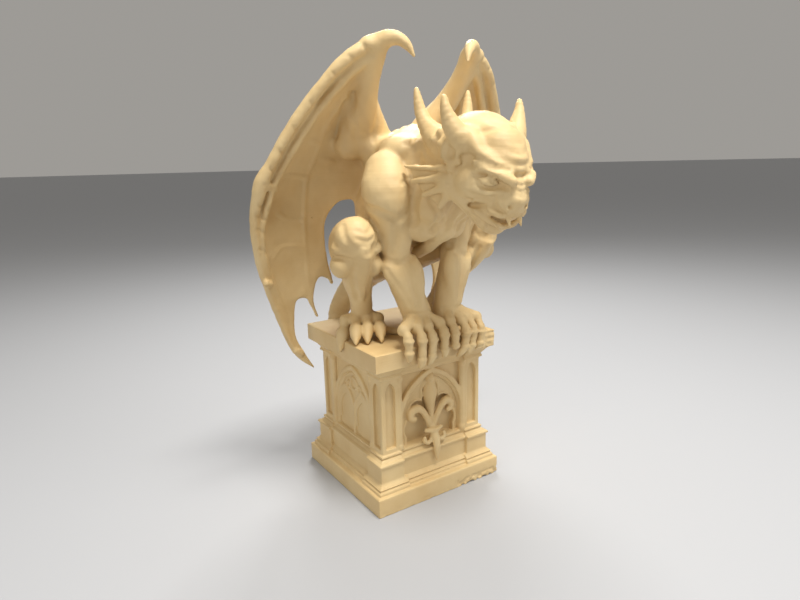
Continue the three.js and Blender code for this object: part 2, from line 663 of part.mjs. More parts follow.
function buildGargoyle() {
  const toward = (edgeOffset) => (slabHalf + edgeOffset) / step;
  const rightHand = [
    { x: 21.3, knuckle: 3.6, tip: -5.2, lean: 0 }, { x: 14.2, knuckle: 2.6, tip: -9.3, lean: 1.4 },
    { x: 8.5, knuckle: 2, tip: -8.6, lean: 2.6 }, { x: 2, knuckle: 3, tip: -7, lean: 0.4 },
  ];
  const leftHand = [
    { x: 4, knuckle: 2.6, tip: -1.4, lean: 0 }, { x: 10.6, knuckle: 1.6, tip: -8.2, lean: -5 },
    { x: 14.8, knuckle: 1.6, tip: -8, lean: -4.6 }, { x: 19.4, knuckle: 1, tip: -6.4, lean: -2.6 },
  ];
  const shared = [...wing(), ...trunkSide(), ...headSide()];
  const leftEdge = toward(-midlineOffset);
  const rightEdge = toward(midlineOffset);
  const left = [...shared, ...armAndHand(leftHand), ...legAndFoot(leftEdge, leftEdge - rightEdge)];
  const right = [...shared, ...armAndHand(rightHand), ...legAndFoot(rightEdge, 0)];
  const pieces = [...torso(), ...head(), ...left, ...right.map(mirrored)];
  const placed = pieces.map((piece) => piece.clone().scale(step, step, step).translate(midlineOffset, 0, slabTop));
  const margin = 2 * restingGap;
  const seat = new THREE.BoxGeometry(slabWidth + margin, slabWidth + margin, slabTop + restingGap)
    .translate(0, 0, (slabTop + restingGap) / 2);
  return joined(placed).subtract(toSolid(seat));
}

const object = new THREE.Group();
object.add(toMesh(buildPlinth(), "plinth"));
object.add(toMesh(buildGargoyle(), "gargoyle"));

export default object;
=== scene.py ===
"""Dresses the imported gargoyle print: a sculpted figure on a carved plinth, both in one cream plastic."""

import logging
import math
from collections.abc import Sequence
from dataclasses import dataclass, field
from enum import Enum

import bpy
import numpy as np
from mathutils import Matrix, Vector


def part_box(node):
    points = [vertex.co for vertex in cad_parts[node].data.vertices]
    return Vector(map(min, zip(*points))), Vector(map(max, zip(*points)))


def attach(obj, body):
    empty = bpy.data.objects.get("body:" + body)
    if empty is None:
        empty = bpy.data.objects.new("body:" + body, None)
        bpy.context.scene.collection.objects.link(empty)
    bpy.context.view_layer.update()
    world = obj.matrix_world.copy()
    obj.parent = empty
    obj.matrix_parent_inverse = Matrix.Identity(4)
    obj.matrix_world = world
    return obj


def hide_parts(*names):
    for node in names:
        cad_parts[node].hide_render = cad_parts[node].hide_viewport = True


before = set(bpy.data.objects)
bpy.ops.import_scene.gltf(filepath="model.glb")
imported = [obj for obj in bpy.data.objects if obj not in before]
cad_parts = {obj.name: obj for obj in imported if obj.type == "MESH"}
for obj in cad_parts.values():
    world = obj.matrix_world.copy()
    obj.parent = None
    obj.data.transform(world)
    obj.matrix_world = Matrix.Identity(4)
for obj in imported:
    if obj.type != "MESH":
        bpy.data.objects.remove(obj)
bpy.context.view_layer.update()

log = logging.getLogger("gargoyle")

MM = 0.001
FAR = 6.0

Array = np.ndarray
Point = tuple[float, float, float]
Joint = tuple[float, float, float, float]


class Side(Enum):
    """The figure's own right and left, as the sign of x."""

    RIGHT = -1
    LEFT = 1


class Face(Enum):
    """The plinth's four faces, counted in quarter turns from the front."""

    FRONT = 0
    LEFT = 1
    BACK = 2
    RIGHT = 3


def smooth_min(a: Array, b: Array, blend: float) -> Array:
    """Joins two distances: the smaller, less (blend - |a - b|)^2 / (4 blend) where they are close.

    Args:
        a: Distances to the first surface.
        b: Distances to the second surface.
        blend: Width of the fillet between them, in millimetres.

    Returns:
        Distances to the joined surface.
    """
    near = np.maximum(blend - np.abs(a - b), 0.0)
    return np.minimum(a, b) - near * near * (0.25 / blend)


def smooth_path(points: Sequence[Sequence[float]], parts: int) -> Array:
    """A Catmull-Rom curve through points, each span cut into equal steps of its parameter.

    Args:
        points: The points, with any number of values each.
        parts: Steps for each span.

    Returns:
        The points of the curve, one row each.
    """
    knots = np.asarray(points, dtype=np.float64)
    ends = np.vstack([2 * knots[0] - knots[1], knots, 2 * knots[-1] - knots[-2]])
    t = np.linspace(0.0, 1.0, parts, endpoint=False)[:, None, None]
    p0, p1, p2, p3 = ends[:-3], ends[1:-2], ends[2:-1], ends[3:]
    spans = 0.5 * (2 * p1 + (p2 - p0) * t + (2 * p0 - 5 * p1 + 4 * p2 - p3) * t**2
                   + (3 * p1 - p0 - 3 * p2 + p3) * t**3)
    return np.vstack([spans.transpose(1, 0, 2).reshape(-1, knots.shape[1]), knots[-1]])


def outline_distance(outline: Array, across: Array, up: Array) -> Array:
    """Distance in a plane to a closed outline, negative inside: the least distance to an edge, with the sign
    turned at each edge that a level ray crosses.

    Args:
        outline: Corners of the outline in order, one row each.
        across: First coordinate of the places measured.
        up: Second coordinate of the places measured, which broadcasts with the first.

    Returns:
        The distances.
    """
    best = np.full(np.broadcast_shapes(across.shape, up.shape), 1e9)
    inside = np.zeros(best.shape, dtype=bool)
    for start, end in zip(outline, np.roll(outline, -1, axis=0)):
        edge = end - start
        run, climb = across - start[0], up - start[1]
        along = np.clip((run * edge[0] + climb * edge[1]) / max(edge @ edge, 1e-9), 0, 1)
        best = np.minimum(best, np.hypot(run - along * edge[0], climb - along * edge[1]))
        spans = (start[1] > up) != (end[1] > up)
        if edge[1] != 0:
            inside ^= spans & (across < start[0] + climb * edge[0] / edge[1])
    return np.where(inside, -best, best)


@dataclass
class Noise:
    """Smooth noise from random values on a lattice, blended between its corners by 3t^2 - 2t^3."""

    size: int = 24
    seed: int = 7
    lattice: Array = field(init=False)

    def __post_init__(self) -> None:
        """Draws the lattice once."""
        self.lattice = np.random.default_rng(self.seed).uniform(-1, 1, (self.size,) * 3).astype(np.float32)

    def at(self, x: Array, y: Array, z: Array, wave: float) -> Array:
        """The noise at places, repeated past the lattice's edge.

        Args:
            x: First coordinates in millimetres.
            y: Second coordinates.
            z: Third coordinates.
            wave: Millimetres between lattice points.

        Returns:
            Values between -1 and 1.
        """
        cells, shares = [], []
        for value in (x, y, z):
            scaled = value / wave
            low = np.floor(scaled)
            part = scaled - low
            cells.append(low.astype(np.int64))
            shares.append(part * part * (3 - 2 * part))
        total = 0.0
        for corner in np.ndindex(2, 2, 2):
            weight = 1.0
            for share, high in zip(shares, corner):
                weight = weight * (share if high else 1 - share)
            index = tuple((cell + high) % self.size for cell, high in zip(cells, corner))
            total = total + weight * self.lattice[index]
        return total


@dataclass
class Clay:
    """A block of distances that shapes are joined to and carved from.

    Each value is a grid point's distance to the surface in millimetres, negative inside. A crouching
    figure with creases, sockets and claws has no plain grid of two parameters, so its surface is where
    these values are zero.
    """

    axes: tuple[Array, Array, Array]
    values: Array

    @classmethod
    def block(cls, low: Point, high: Point, step: float) -> "Clay":
        """An empty block between two corners.

        Args:
            low: Lowest corner in millimetres.
            high: Highest corner.
            step: Distance between grid points.

        Returns:
            The block, with nothing in it.
        """
        axes = tuple(np.arange(a, b + step, step, dtype=np.float32) for a, b in zip(low, high))
        return cls(axes, np.full([len(axis) for axis in axes], FAR, dtype=np.float32))

    def turned(self, face: Face) -> "Clay":
        """The same block seen from one face: across, outward, up. It shares its values.

        Args:
            face: The face looked at.

        Returns:
            A block whose second axis points out of the face.
        """
        x, y, z = self.axes
        match face:
            case Face.FRONT:
                return Clay((x, -y[::-1], z), self.values[:, ::-1])
            case Face.LEFT:
                return Clay((y, x, z), self.values.transpose(1, 0, 2))
            case Face.BACK:
                return Clay((-x[::-1], y, z), self.values[::-1])
            case Face.RIGHT:
                return Clay((-y[::-1], -x[::-1], z), self.values.transpose(1, 0, 2)[::-1, ::-1])

    def window(self, low: Sequence[float], high: Sequence[float]) -> tuple[tuple[slice, ...], list[Array]]:
        """The part of the block between two corners.

        Args:
            low: Lowest corner.
            high: Highest corner.

        Returns:
            Its slices, and its three coordinates shaped to broadcast.
        """
        where, grids = [], []
        for i, axis in enumerate(self.axes):
            start, stop = np.searchsorted(axis, [low[i], high[i]])
            where.append(slice(int(start), int(stop)))
            shape = [1, 1, 1]
            shape[i] = -1
            grids.append(axis[start:stop].reshape(shape))
        return tuple(where), grids

    def chain(self, joints: Array, narrow: float, centre: float) -> tuple[tuple[slice, ...], Array]:
        """Distances to a limb of tapered links: to the nearest point of each link's axis, less its radius
        there.

        Args:
            joints: Rows of x, y, z and radius.
            narrow: Width of the limb over its depth.
            centre: Level of x that the narrowing is measured from.

        Returns:
            The slices of the limb's window, and the distances in it.
        """
        margin = joints[:, 3:].max() + FAR
        where, _ = self.window(joints[:, :3].min(0) - margin, joints[:, :3].max(0) + margin)
        found = np.full([s.stop - s.start for s in where], FAR, dtype=np.float32)
        for start, end in zip(joints[:-1], joints[1:]):
            reach = max(start[3], end[3]) + FAR
            low, high = np.minimum(start, end)[:3] - reach, np.maximum(start, end)[:3] + reach
            part, (x, y, z) = self.window(low, high)
            local = tuple(slice(p.start - w.start, p.stop - w.start) for p, w in zip(part, where))
            link = (end - start).astype(np.float32)
            dx, dy, dz = (x - centre) / narrow + centre - start[0], y - start[1], z - start[2]
            length = max(float(link[:3] @ link[:3]), 1e-9)
            along = np.clip((dx * link[0] + dy * link[1] + dz * link[2]) / length, 0, 1)
            gap = np.sqrt((dx - along * link[0]) ** 2 + (dy - along * link[1]) ** 2
                          + (dz - along * link[2]) ** 2)
            gap -= start[3] + along * link[3]
            found[local] = np.minimum(found[local], gap * (0.5 + 0.5 * narrow))
        return where, found

    def join(self, where: tuple[slice, ...], distances: Array, blend: float) -> None:
        """Joins a shape to the clay with a fillet as wide as blend."""
        self.values[where] = smooth_min(self.values[where], distances, blend)

    def carve(self, where: tuple[slice, ...], distances: Array, blend: float) -> None:
        """Cuts a shape from the clay with an edge as soft as blend."""
        self.values[where] = -smooth_min(-self.values[where], distances, blend)

    def press(self, where: tuple[slice, ...], distances: Array, width: float, depth: float) -> None:
        """Moves the surface in by depth x (1 - (distance / width)^2)^2 near a line; a negative depth
        raises it."""
        share = np.clip(distances / width, 0, 1)
        self.values[where] += depth * (1 - share * share) ** 2

    def settle(self, path: Array) -> Array:
        """Moves points onto the surface: each step goes along the slope of the distances by the distance
        there."""
        path = path.copy()
        origin, step = np.array([axis[0] for axis in self.axes]), self.axes[0][1] - self.axes[0][0]
        most = np.array(self.values.shape) - 2
        for _ in range(8):
            place = (path[:, :3] - origin) / step
            cell = np.clip(np.rint(place).astype(int), 1, most)
            i, j, k = cell.T
            near = self.values
            slope = np.stack([near[i + 1, j, k] - near[i - 1, j, k], near[i, j + 1, k] - near[i, j - 1, k],
                              near[i, j, k + 1] - near[i, j, k - 1]], axis=1) / 2
            here = near[i, j, k] + ((place - cell) * slope).sum(1)
            size = np.maximum((slope ** 2).sum(1), 0.1 * step * step)
            path[:, :3] -= (np.clip(here, -2, 2) / size)[:, None] * slope * step * 0.8
        return path

    def surface(self) -> tuple[Array, Array]:
        """The surface where the values are zero, by surface nets.

        Each grid cell that the surface passes through gets one vertex, at the mean of the points where the
        surface crosses its edges, and each grid edge that it crosses gets one face between the four cells
        around it.

        Returns:
            The vertices in millimetres, and four vertex numbers for each face, turned outward.
        """
        inside = self.values < 0
        shape = np.array(inside.shape)
        corners = list(np.ndindex(2, 2, 2))
        filled = sum(inside[tuple(slice(c, n - 1 + c) for c, n in zip(corner, shape))].astype(np.uint8)
                     for corner in corners)
        cells = np.argwhere((filled > 0) & (filled < 8))
        numbers = np.full(shape - 1, -1, dtype=np.int32)
        numbers[tuple(cells.T)] = np.arange(len(cells))
        held = np.stack([self.values[tuple((cells + corner).T)] for corner in corners],
                        axis=1).astype(np.float64)
        total, crossings = np.zeros((len(cells), 3)), np.zeros((len(cells), 1))
        for a, first in enumerate(corners):
            for b, second in enumerate(corners):
                if b > a and sum(abs(p - q) for p, q in zip(first, second)) == 1:
                    crossed = ((held[:, a] < 0) != (held[:, b] < 0))[:, None]
                    share = (held[:, a] / (held[:, a] - held[:, b] + 1e-12))[:, None]
                    near, way = np.array(first), np.array(second) - np.array(first)
                    total += np.where(crossed, near + share * way, 0)
                    crossings += crossed
        step = self.axes[0][1] - self.axes[0][0]
        origin = np.array([axis[0] for axis in self.axes])
        vertices = origin + step * (cells + total / crossings)
        faces = []
        for axis in range(3):
            ahead = tuple(slice(1, None) if i == axis else slice(None) for i in range(3))
            behind = tuple(slice(None, -1) if i == axis else slice(None) for i in range(3))
            for outward in (True, False):
                edges = np.argwhere(inside[behind] & ~inside[ahead] if outward
                                    else ~inside[behind] & inside[ahead])
                u, v = np.eye(3, dtype=int)[(axis + 1) % 3], np.eye(3, dtype=int)[(axis + 2) % 3]
                ring = [edges - u - v, edges - v, edges, edges - u]
                quads = np.stack([numbers[tuple(cell.T)] for cell in ring], axis=1)
                faces.append(quads if outward else quads[:, ::-1])
        return vertices, np.vstack(faces)


def make_piece(name: str, vertices: Array, faces: Array, most: int, crease: float) -> bpy.types.Object:
    """Puts a surface into a mesh and thins it to a number of triangles.

    Args:
        name: The piece's name.
        vertices: Rows of x, y and z in millimetres.
        faces: Rows of four vertex numbers.
        most: The most triangles that it may keep.
        crease: Angle in degrees past which an edge is shaded sharp.

    Returns:
        The object, at the origin.
    """
    mesh = bpy.data.meshes.new(name)
    mesh.vertices.add(len(vertices))
    mesh.vertices.foreach_set("co", (vertices * MM).astype(np.float32).ravel())
    mesh.loops.add(faces.size)
    mesh.loops.foreach_set("vertex_index", faces.astype(np.int32).ravel())
    mesh.polygons.add(len(faces))
    mesh.polygons.foreach_set("loop_start", np.arange(0, faces.size, 4, dtype=np.int32))
    mesh.update(calc_edges=True)
    piece = bpy.data.objects.new(name, mesh)
    bpy.context.scene.collection.objects.link(piece)
    thin = piece.modifiers.new("Fewer faces", "DECIMATE")
    thin.ratio = min(1.0, most / (2 * len(faces)))
    bpy.context.view_layer.update()
    fewer = bpy.data.meshes.new_from_object(piece.evaluated_get(bpy.context.evaluated_depsgraph_get()))
    piece.modifiers.clear()
    piece.data = fewer
    fewer.name = name
    bpy.data.meshes.remove(mesh)
    fewer.shade_smooth()
    fewer.set_sharp_from_angle(angle=math.radians(crease))
    return piece


@dataclass(frozen=True)
class PrintedPlastic:
    """Cream filament laid in level layers: a satin plastic whose surface steps with height."""

    colour: tuple[float, float, float, float] = (0.640, 0.455, 0.215, 1.0)
    pale: tuple[float, float, float, float] = (0.720, 0.550, 0.290, 1.0)
    roughness: float = 0.5
    layer: float = 0.42
    band: float = 0.9
    line_height: float = 0.035
    band_height: float = 0.10
    refraction: float = 1.46
    gloss: float = 0.45
    mottle_scale: float = 60.0
    mottle_detail: float = 4.0
    relief: float = 0.6

    def layer_lines(self) -> bpy.types.NodeTree:
        """The node group of layer lines: a sine of height for each layer, and slow level bands of noise.

        Returns:
            A group with the inputs Layer, Band, Line Height and Band Height, and the outputs Height and Tone.
        """
        group = bpy.data.node_groups.new("Layer lines", "ShaderNodeTree")
        for name in ("Layer", "Band", "Line Height", "Band Height"):
            group.interface.new_socket(name, in_out="INPUT", socket_type="NodeSocketFloat")
        for name in ("Height", "Tone"):
            group.interface.new_socket(name, in_out="OUTPUT", socket_type="NodeSocketFloat")
        nodes, links = group.nodes, group.links
        given, made = nodes.new("NodeGroupInput"), nodes.new("NodeGroupOutput")
        place = nodes.new("ShaderNodeTexCoord")
        parts = nodes.new("ShaderNodeSeparateXYZ")
        links.new(place.outputs["Object"], parts.inputs[0])

        def value(operation: str, first, second) -> bpy.types.NodeSocket:
            """One sum of two values or sockets."""
            node = nodes.new("ShaderNodeMath")
            node.operation = operation
            for socket, source in zip(node.inputs, (first, second)):
                if isinstance(source, bpy.types.NodeSocket):
                    links.new(source, socket)
                else:
                    socket.default_value = source
            return node.outputs[0]

        height = parts.outputs["Z"]
        turns = value("MULTIPLY", value("DIVIDE", height, given.outputs["Layer"]), 2 * math.pi)
        line = value("MULTIPLY", value("SINE", turns, 0.0), given.outputs["Line Height"])
        bands = nodes.new("ShaderNodeTexNoise")
        bands.noise_dimensions = "1D"
        bands.inputs["Scale"].default_value = 1.0
        bands.inputs["Detail"].default_value = 3.0
        links.new(value("DIVIDE", height, given.outputs["Band"]), bands.inputs["W"])
        band = value("MULTIPLY", bands.outputs[0], given.outputs["Band Height"])
        links.new(value("ADD", line, band), made.inputs["Height"])
        links.new(bands.outputs[0], made.inputs["Tone"])
        return group

    def build(self) -> bpy.types.Material:
        """Makes the material.

        Returns:
            A satin plastic with layer lines in its normals and a slight random change of tone from noise.
        """
        material = bpy.data.materials.new("Cream print")
        material.use_nodes = True
        nodes, links = material.node_tree.nodes, material.node_tree.links
        shader = nodes["Principled BSDF"]
        shader.inputs["Roughness"].default_value = self.roughness
        shader.inputs["IOR"].default_value = self.refraction
        shader.inputs["Specular IOR Level"].default_value = self.gloss
        lines = nodes.new("ShaderNodeGroup")
        lines.node_tree = self.layer_lines()
        for name, size in zip(("Layer", "Band", "Line Height", "Band Height"),
                              (self.layer, self.band, self.line_height, self.band_height)):
            lines.inputs[name].default_value = size * MM
        place = nodes.new("ShaderNodeTexCoord")
        mottle = nodes.new("ShaderNodeTexNoise")
        mottle.inputs["Scale"].default_value = self.mottle_scale
        mottle.inputs["Detail"].default_value = self.mottle_detail
        links.new(place.outputs["Object"], mottle.inputs["Vector"])
        tone = nodes.new("ShaderNodeMapRange")
        tone.inputs["From Min"].default_value = 0.3
        tone.inputs["From Max"].default_value = 0.7
        links.new(mottle.outputs[0], tone.inputs["Value"])
        mix = nodes.new("ShaderNodeMix")
        mix.data_type = "RGBA"
        mix.inputs["A"].default_value = self.colour
        mix.inputs["B"].default_value = self.pale
        links.new(tone.outputs[0], mix.inputs["Factor"])
        links.new(mix.outputs["Result"], shader.inputs["Base Color"])
        bump = nodes.new("ShaderNodeBump")
        bump.inputs["Strength"].default_value = self.relief
        bump.inputs["Distance"].default_value = 1.0
        links.new(lines.outputs["Height"], bump.inputs["Height"])
        links.new(bump.outputs[0], shader.inputs["Normal"])
        return material


def dress(piece: bpy.types.Object, node: str, material: bpy.types.Material) -> None:
    """Gives a piece its material and its body, and hides the CAD node that it stands for.

    Args:
        piece: The piece.
        node: The CAD node that it replaces.
        material: Its finish.
    """
    piece.data.materials.clear()
    piece.data.materials.append(material)
    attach(piece, "root")
    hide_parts(node)
    log.info("%s: %d faces", piece.name, len(piece.data.polygons))


@dataclass
class Plinth:
    """The square Gothic plinth. Sizes are in millimetres; its width and height come from the frame."""

    width: float
    height: float
    step: float = 0.4
    block: float = 9.0
    lower_mould: float = 4.4
    band: float = 8.2
    upper_mould: float = 4.4
    capital: float = 6.2
    slab: float = 8.1
    lower_half: float = 33.5
    band_half: float = 31.0
    pier_half: float = 28.3
    slab_half: float = 33.6
    corner_step: float = 1.5
    setback: float = 1.3
    pier_face: float = 10.0
    front_recess: float = 5.2
    side_recess: float = 2.4
    edge: float = 0.35
    shaft_radius: float = 1.45
    shaft_setback: float = 1.3
    ring_swell: float = 0.5
    panel_half: float = 2.6
    panel_depth: float = 1.7
    panel_margin: float = 1.8
    panel_rise: float = 5.0
    most_triangles: int = 190000
    sharp_angle: float = 38.0
    noise: Noise = field(default_factory=Noise)

    def __post_init__(self) -> None:
        """Works out the levels that follow from the heights."""
        self.band_base = self.block + self.lower_mould
        self.mould_base = self.band_base + self.band
        self.shaft_base = self.mould_base + self.upper_mould
        self.slab_base = self.height - self.slab
        self.capital_base = self.slab_base - self.capital
        self.shaft = self.capital_base - self.shaft_base
        self.opening = self.pier_half - self.pier_face + 0.6
        self.spring = self.shaft_base + 0.28 * self.shaft

    def stack(self, clay: Clay, profile: Sequence[tuple[float, float]], posts: float = 0.0) -> None:
        """Joins a square stack of mouldings: the profile's distance at the larger of |x| and |y|, and the
        height.

        Args:
            clay: The plinth's clay.
            profile: Half widths and levels, up the outside; it is closed along the middle.
            posts: Where the stack shows only at its corners, the least of |x| and |y| there.
        """
        x, y, z = clay.axes
        half = np.maximum(np.abs(x)[:, None], np.abs(y)[None, :])
        low = min(level for _, level in profile) - 3
        high = max(level for _, level in profile) + 3
        start, stop = np.searchsorted(z, [low, high])
        steps = np.arange(0, half.max() + 2 * self.step, self.step)
        closed = np.array([(-60.0, profile[0][1]), *profile, (-60.0, profile[-1][1])])
        table = outline_distance(closed, steps[:, None], z[None, start:stop]).astype(np.float32)
        place = half / self.step
        index = place.astype(int)
        share = (place - index)[:, :, None]
        found = table[index] * (1 - share) + table[index + 1] * share
        if posts:
            inner = np.minimum(np.abs(x)[:, None], np.abs(y)[None, :])
            found = np.maximum(found, (posts - inner)[:, :, None])
        where = (slice(None), slice(None), slice(int(start), int(stop)))
        clay.join(where, found, self.edge)

    @staticmethod
    def profile(base: float, rise: float, rows: Sequence[tuple[float, float]]) -> list[tuple[float, float]]:
        """Turns rows of half width and share of a rise into half widths and levels."""
        return [(half, base + share * rise) for half, share in rows]

    def upper(self, half: float, top: float) -> list[tuple[float, float]]:
        """The splayed moulding under the shafts, from one half width in to another."""
        drop = half - top
        shares = [(half - 0.5, -0.12), (half + 0.7, -0.04), (half + 0.7, 0.2), (half - 0.25 * drop, 0.3),
                  (half - 0.66 * drop, 0.54)]
        shares += [(top + 0.2, 0.6), (top + 1.1, 0.68), (top + 1.1, 0.86), (top, 0.96)]
        return self.profile(self.mould_base, self.upper_mould, shares)

    def lower(self, half: float) -> list[tuple[float, float]]:
        """The moulding over the base block."""
        shares = [(half, 0.0), (half, 0.34), (half - 1.1, 0.42), (half - 1.1, 0.54), (half - 0.6, 0.62),
                  (half - 2.0, 0.9)]
        return self.profile(self.block, self.lower_mould, shares)

    def mouldings(self, clay: Clay) -> None:
        """The blocks and mouldings of the base, the capital and the slab."""
        band, wall = self.band_half - self.corner_step, self.pier_half - self.setback
        core = self.pier_half - self.front_recess
        self.stack(clay, [(self.width / 2, 0), (self.width / 2, self.block - 0.5),
                          (self.width / 2 - 0.5, self.block)])
        self.stack(clay, [*self.lower(self.lower_half - self.corner_step), (band, self.band_base),
                          (band, self.mould_base), *self.upper(band, wall)])
        self.stack(clay, [(core, self.shaft_base - 2), (core, self.capital_base + 1)])
        cap, pier = self.capital_base, self.pier_half
        rows = ((wall, 0.0), (wall + 0.9, 0.14), (wall + 0.6, 0.3), (wall + 1.4, 0.5), (pier + 2, 0.8))
        self.stack(clay, [*self.profile(cap, self.capital, rows),
                          (self.slab_half - 1.2, self.slab_base - 0.2),
                          (self.slab_half - 1.2, self.slab_base + 1)])
        self.stack(clay, [(self.slab_half, self.slab_base), (self.slab_half, self.height)])
        self.stack(clay, [*self.lower(self.lower_half), (self.lower_half - 2, self.band_base)],
                   self.width / 2 - 18)
        self.stack(clay, [(self.band_half, self.band_base - 0.5), (self.band_half, self.mould_base),
                          *self.upper(self.band_half, pier)], self.band_half - 12.5)
        inner = pier - self.pier_face
        self.stack(clay, [(pier, self.mould_base + 1), (pier, cap + 1)], inner)
        rows = ((pier, 0.0), (pier + 1.1, 0.1), (pier + 1.1, 0.22), (pier + 0.5, 0.34), (pier + 1.6, 0.55),
                (pier + 2.8, 0.8))
        self.stack(clay, [*self.profile(cap, self.capital, rows), (self.slab_half - 0.8, self.slab_base),
                          (self.slab_half - 0.8, self.slab_base + 1)], inner)

    @staticmethod
    def arch(u: Array, z: Array, half: float, spring: float, apex: float) -> Array:
        """Distance in the wall's plane to a pointed arch on straight legs, negative inside.

        Over the spring it is the distance to a circle centred on the spring line, through the leg and the
        apex.
        """
        rise = apex - spring
        radius = (rise * rise + half * half) / (2 * half)
        over = np.hypot(np.abs(u) + radius - half, z - spring) - radius
        return np.where(z > spring, over, np.abs(u) - half)

    def roll(self, clay: Clay, line: Array, where: tuple[slice, ...], v: Array, depth: float,
             radius: float) -> None:
        """Joins a round moulding: a tube around the line where a distance in the wall's plane is zero."""
        clay.join(where, np.hypot(line, v - depth) - radius, 0.5)

    def strip(self, clay: Clay, line: Array, where: tuple[slice, ...], v: Array, half: float,
              face: float) -> None:
        """Joins a flat band with soft edges along the line where a distance in the wall's plane is zero."""
        clay.join(where, -smooth_min(half - np.abs(line) + 0 * v, face - v + 0 * line, 0.6), 0.3)

    def face_window(self, clay: Clay) -> tuple[tuple[slice, ...], list[Array]]:
        """The part of a face between its piers."""
        half = self.opening + 2.5
        return clay.window((-half, self.pier_half - 9, self.mould_base - 2),
                           (half, self.pier_half + 6, self.slab_base))

    def shafts(self, clay: Clay) -> None:
        """A round shaft on each side of a face, with a ring at its foot and its head."""
        radius, depth = self.shaft_radius, self.pier_half - self.shaft_setback
        for sign in (-1, 1):
            offset = sign * (self.pier_half - self.pier_face - 0.1)
            rod = np.array([(offset, depth, self.shaft_base - 1, radius),
                            (offset, depth, self.capital_base + 1, radius)])
            clay.join(*clay.chain(rod, 1.0, 0.0), 0.4)
            for level in (self.shaft_base + 0.9, self.capital_base - 0.9):
                ring = np.array([(offset, depth, level - 0.3, radius + self.ring_swell),
                                 (offset, depth, level + 0.3, radius + self.ring_swell)])
                clay.join(*clay.chain(ring, 1.0, 0.0), 0.3)

    def panels(self, clay: Clay) -> None:
        """Sinks a narrow lancet into each pier of a face."""
        foot, apex = self.shaft_base + self.panel_margin, self.capital_base - self.panel_margin
        half = self.panel_half
        for sign in (-1, 1):
            centre = sign * (self.pier_half - self.pier_face / 2 + 0.2)
            low = (centre - half - 2, self.pier_half - 3, foot - 2)
            where, (u, v, z) = clay.window(low, (centre + half + 2, self.pier_half + 3, apex + 2))
            shape = np.maximum(self.arch(u - centre, z, half, apex - self.panel_rise, apex), foot - z)
            clay.carve(where, np.maximum(shape, self.pier_half - self.panel_depth - v), 0.3)

    def side(self, clay: Clay) -> None:
        """A shallow face: two lancets with cusps under a large arch, and an eye between their heads."""
        where, (u, v, z) = self.face_window(clay)
        sunk, wall = self.pier_half - self.side_recess, self.pier_half - self.setback
        clay.join(where, np.maximum(np.maximum(np.abs(u) - self.opening, v - sunk), self.mould_base - z), 0.3)
        arch = self.arch(u, z, self.opening, self.spring, self.capital_base - 0.6)
        clay.join(where, np.maximum(-arch, v - wall + 0.9) + 0 * u, 0.3)
        self.strip(clay, arch + 0.8, where, v, 1.1, wall + 0.4)
        foot = np.maximum(self.shaft_base - 0.5 - z, 0)
        self.roll(clay, arch + 1.2, where, v, sunk + 0.4, 1.2)
        self.roll(clay, np.hypot(self.arch(u, z, self.opening - 3, self.spring, self.capital_base - 4.5),
                                 foot), where, v, sunk + 0.1, 0.9)
        span = (self.opening - 3) / 2
        apex = self.spring + 0.36 * self.shaft
        for sign in (-1, 1):
            lancet = self.arch(u - sign * span, z, span, self.spring, apex)
            self.strip(clay, np.hypot(lancet, foot), where, v, 0.8, wall - 0.1)
            inner = self.arch(u - sign * span, z, span - 2.4, self.spring - 1, apex - 4.6)
            cusped = np.maximum(lancet + 0.9, -inner)
            clay.join(where, np.maximum(np.maximum(cusped, v - sunk - 0.55), self.spring - 6 - z), 0.3)
        for x, level, radius in ((0.0, apex + 2.6, 3.0), (-5.2, apex + 1.0, 1.5), (5.2, apex + 1.0, 1.5)):
            self.strip(clay, np.hypot(u - x, z - level) - radius, where, v, 0.65, wall - 0.3)
        self.shafts(clay)

    def front(self, clay: Clay) -> None:
        """The front: receding arch orders, a cusped frame and the flower that hangs in it."""
        where, (u, v, z) = self.face_window(clay)
        deep, wall = self.pier_half - self.front_recess, self.pier_half - self.setback
        apex = self.capital_base - 0.3
        arch = self.arch(u, z, self.opening + 0.6, self.spring, apex)
        clay.join(where, np.maximum(-arch, v - wall + 1.3) + 0 * u, 0.3)
        for order, (wide, face) in enumerate(((1.25, 0.9), (0.75, -0.5), (0.6, -1.3))):
            line = self.arch(u, z, self.opening - 0.2 - 1.5 * order, self.spring, apex - 0.4 - 1.9 * order)
            self.strip(clay, line, where, v, wide, wall + face)
        clay.join(where, np.maximum(-(arch + 2.8), v - wall + 3.2) + 0 * u, 0.3)
        half, top = self.opening - 3.2, apex - 3.6
        plate = np.maximum(self.arch(u, z, half + 1, self.spring, top + 1), self.mould_base - z)
        foils = [(0.0, top - 6.8, 4.3), (0.0, top - 11.5, 4.6), (0.47 * half, self.spring + 5.4, 5.0),
                 (0.58 * half, self.spring - 3.0, 5.6), (0.0, self.spring, 7.0)]
        opened = np.full(plate.shape, FAR)
        for x, level, radius in foils:
            opened = np.minimum(opened, np.hypot(np.abs(u) - x, z - level) - radius)
        legs = np.maximum(np.abs(u) - half + 1.9, z - self.spring + 3.0)
        opened = smooth_min(opened, legs, 0.4)
        frame_face = wall - 1.6
        clay.join(where, np.maximum(np.maximum(plate, -opened), v - frame_face) + 0 * v, 0.3)
        self.roll(clay, np.hypot(opened - 0.5, np.maximum(plate, 0)), where, v, frame_face, 0.75)
        self.flower(clay, deep)
        self.shafts(clay)

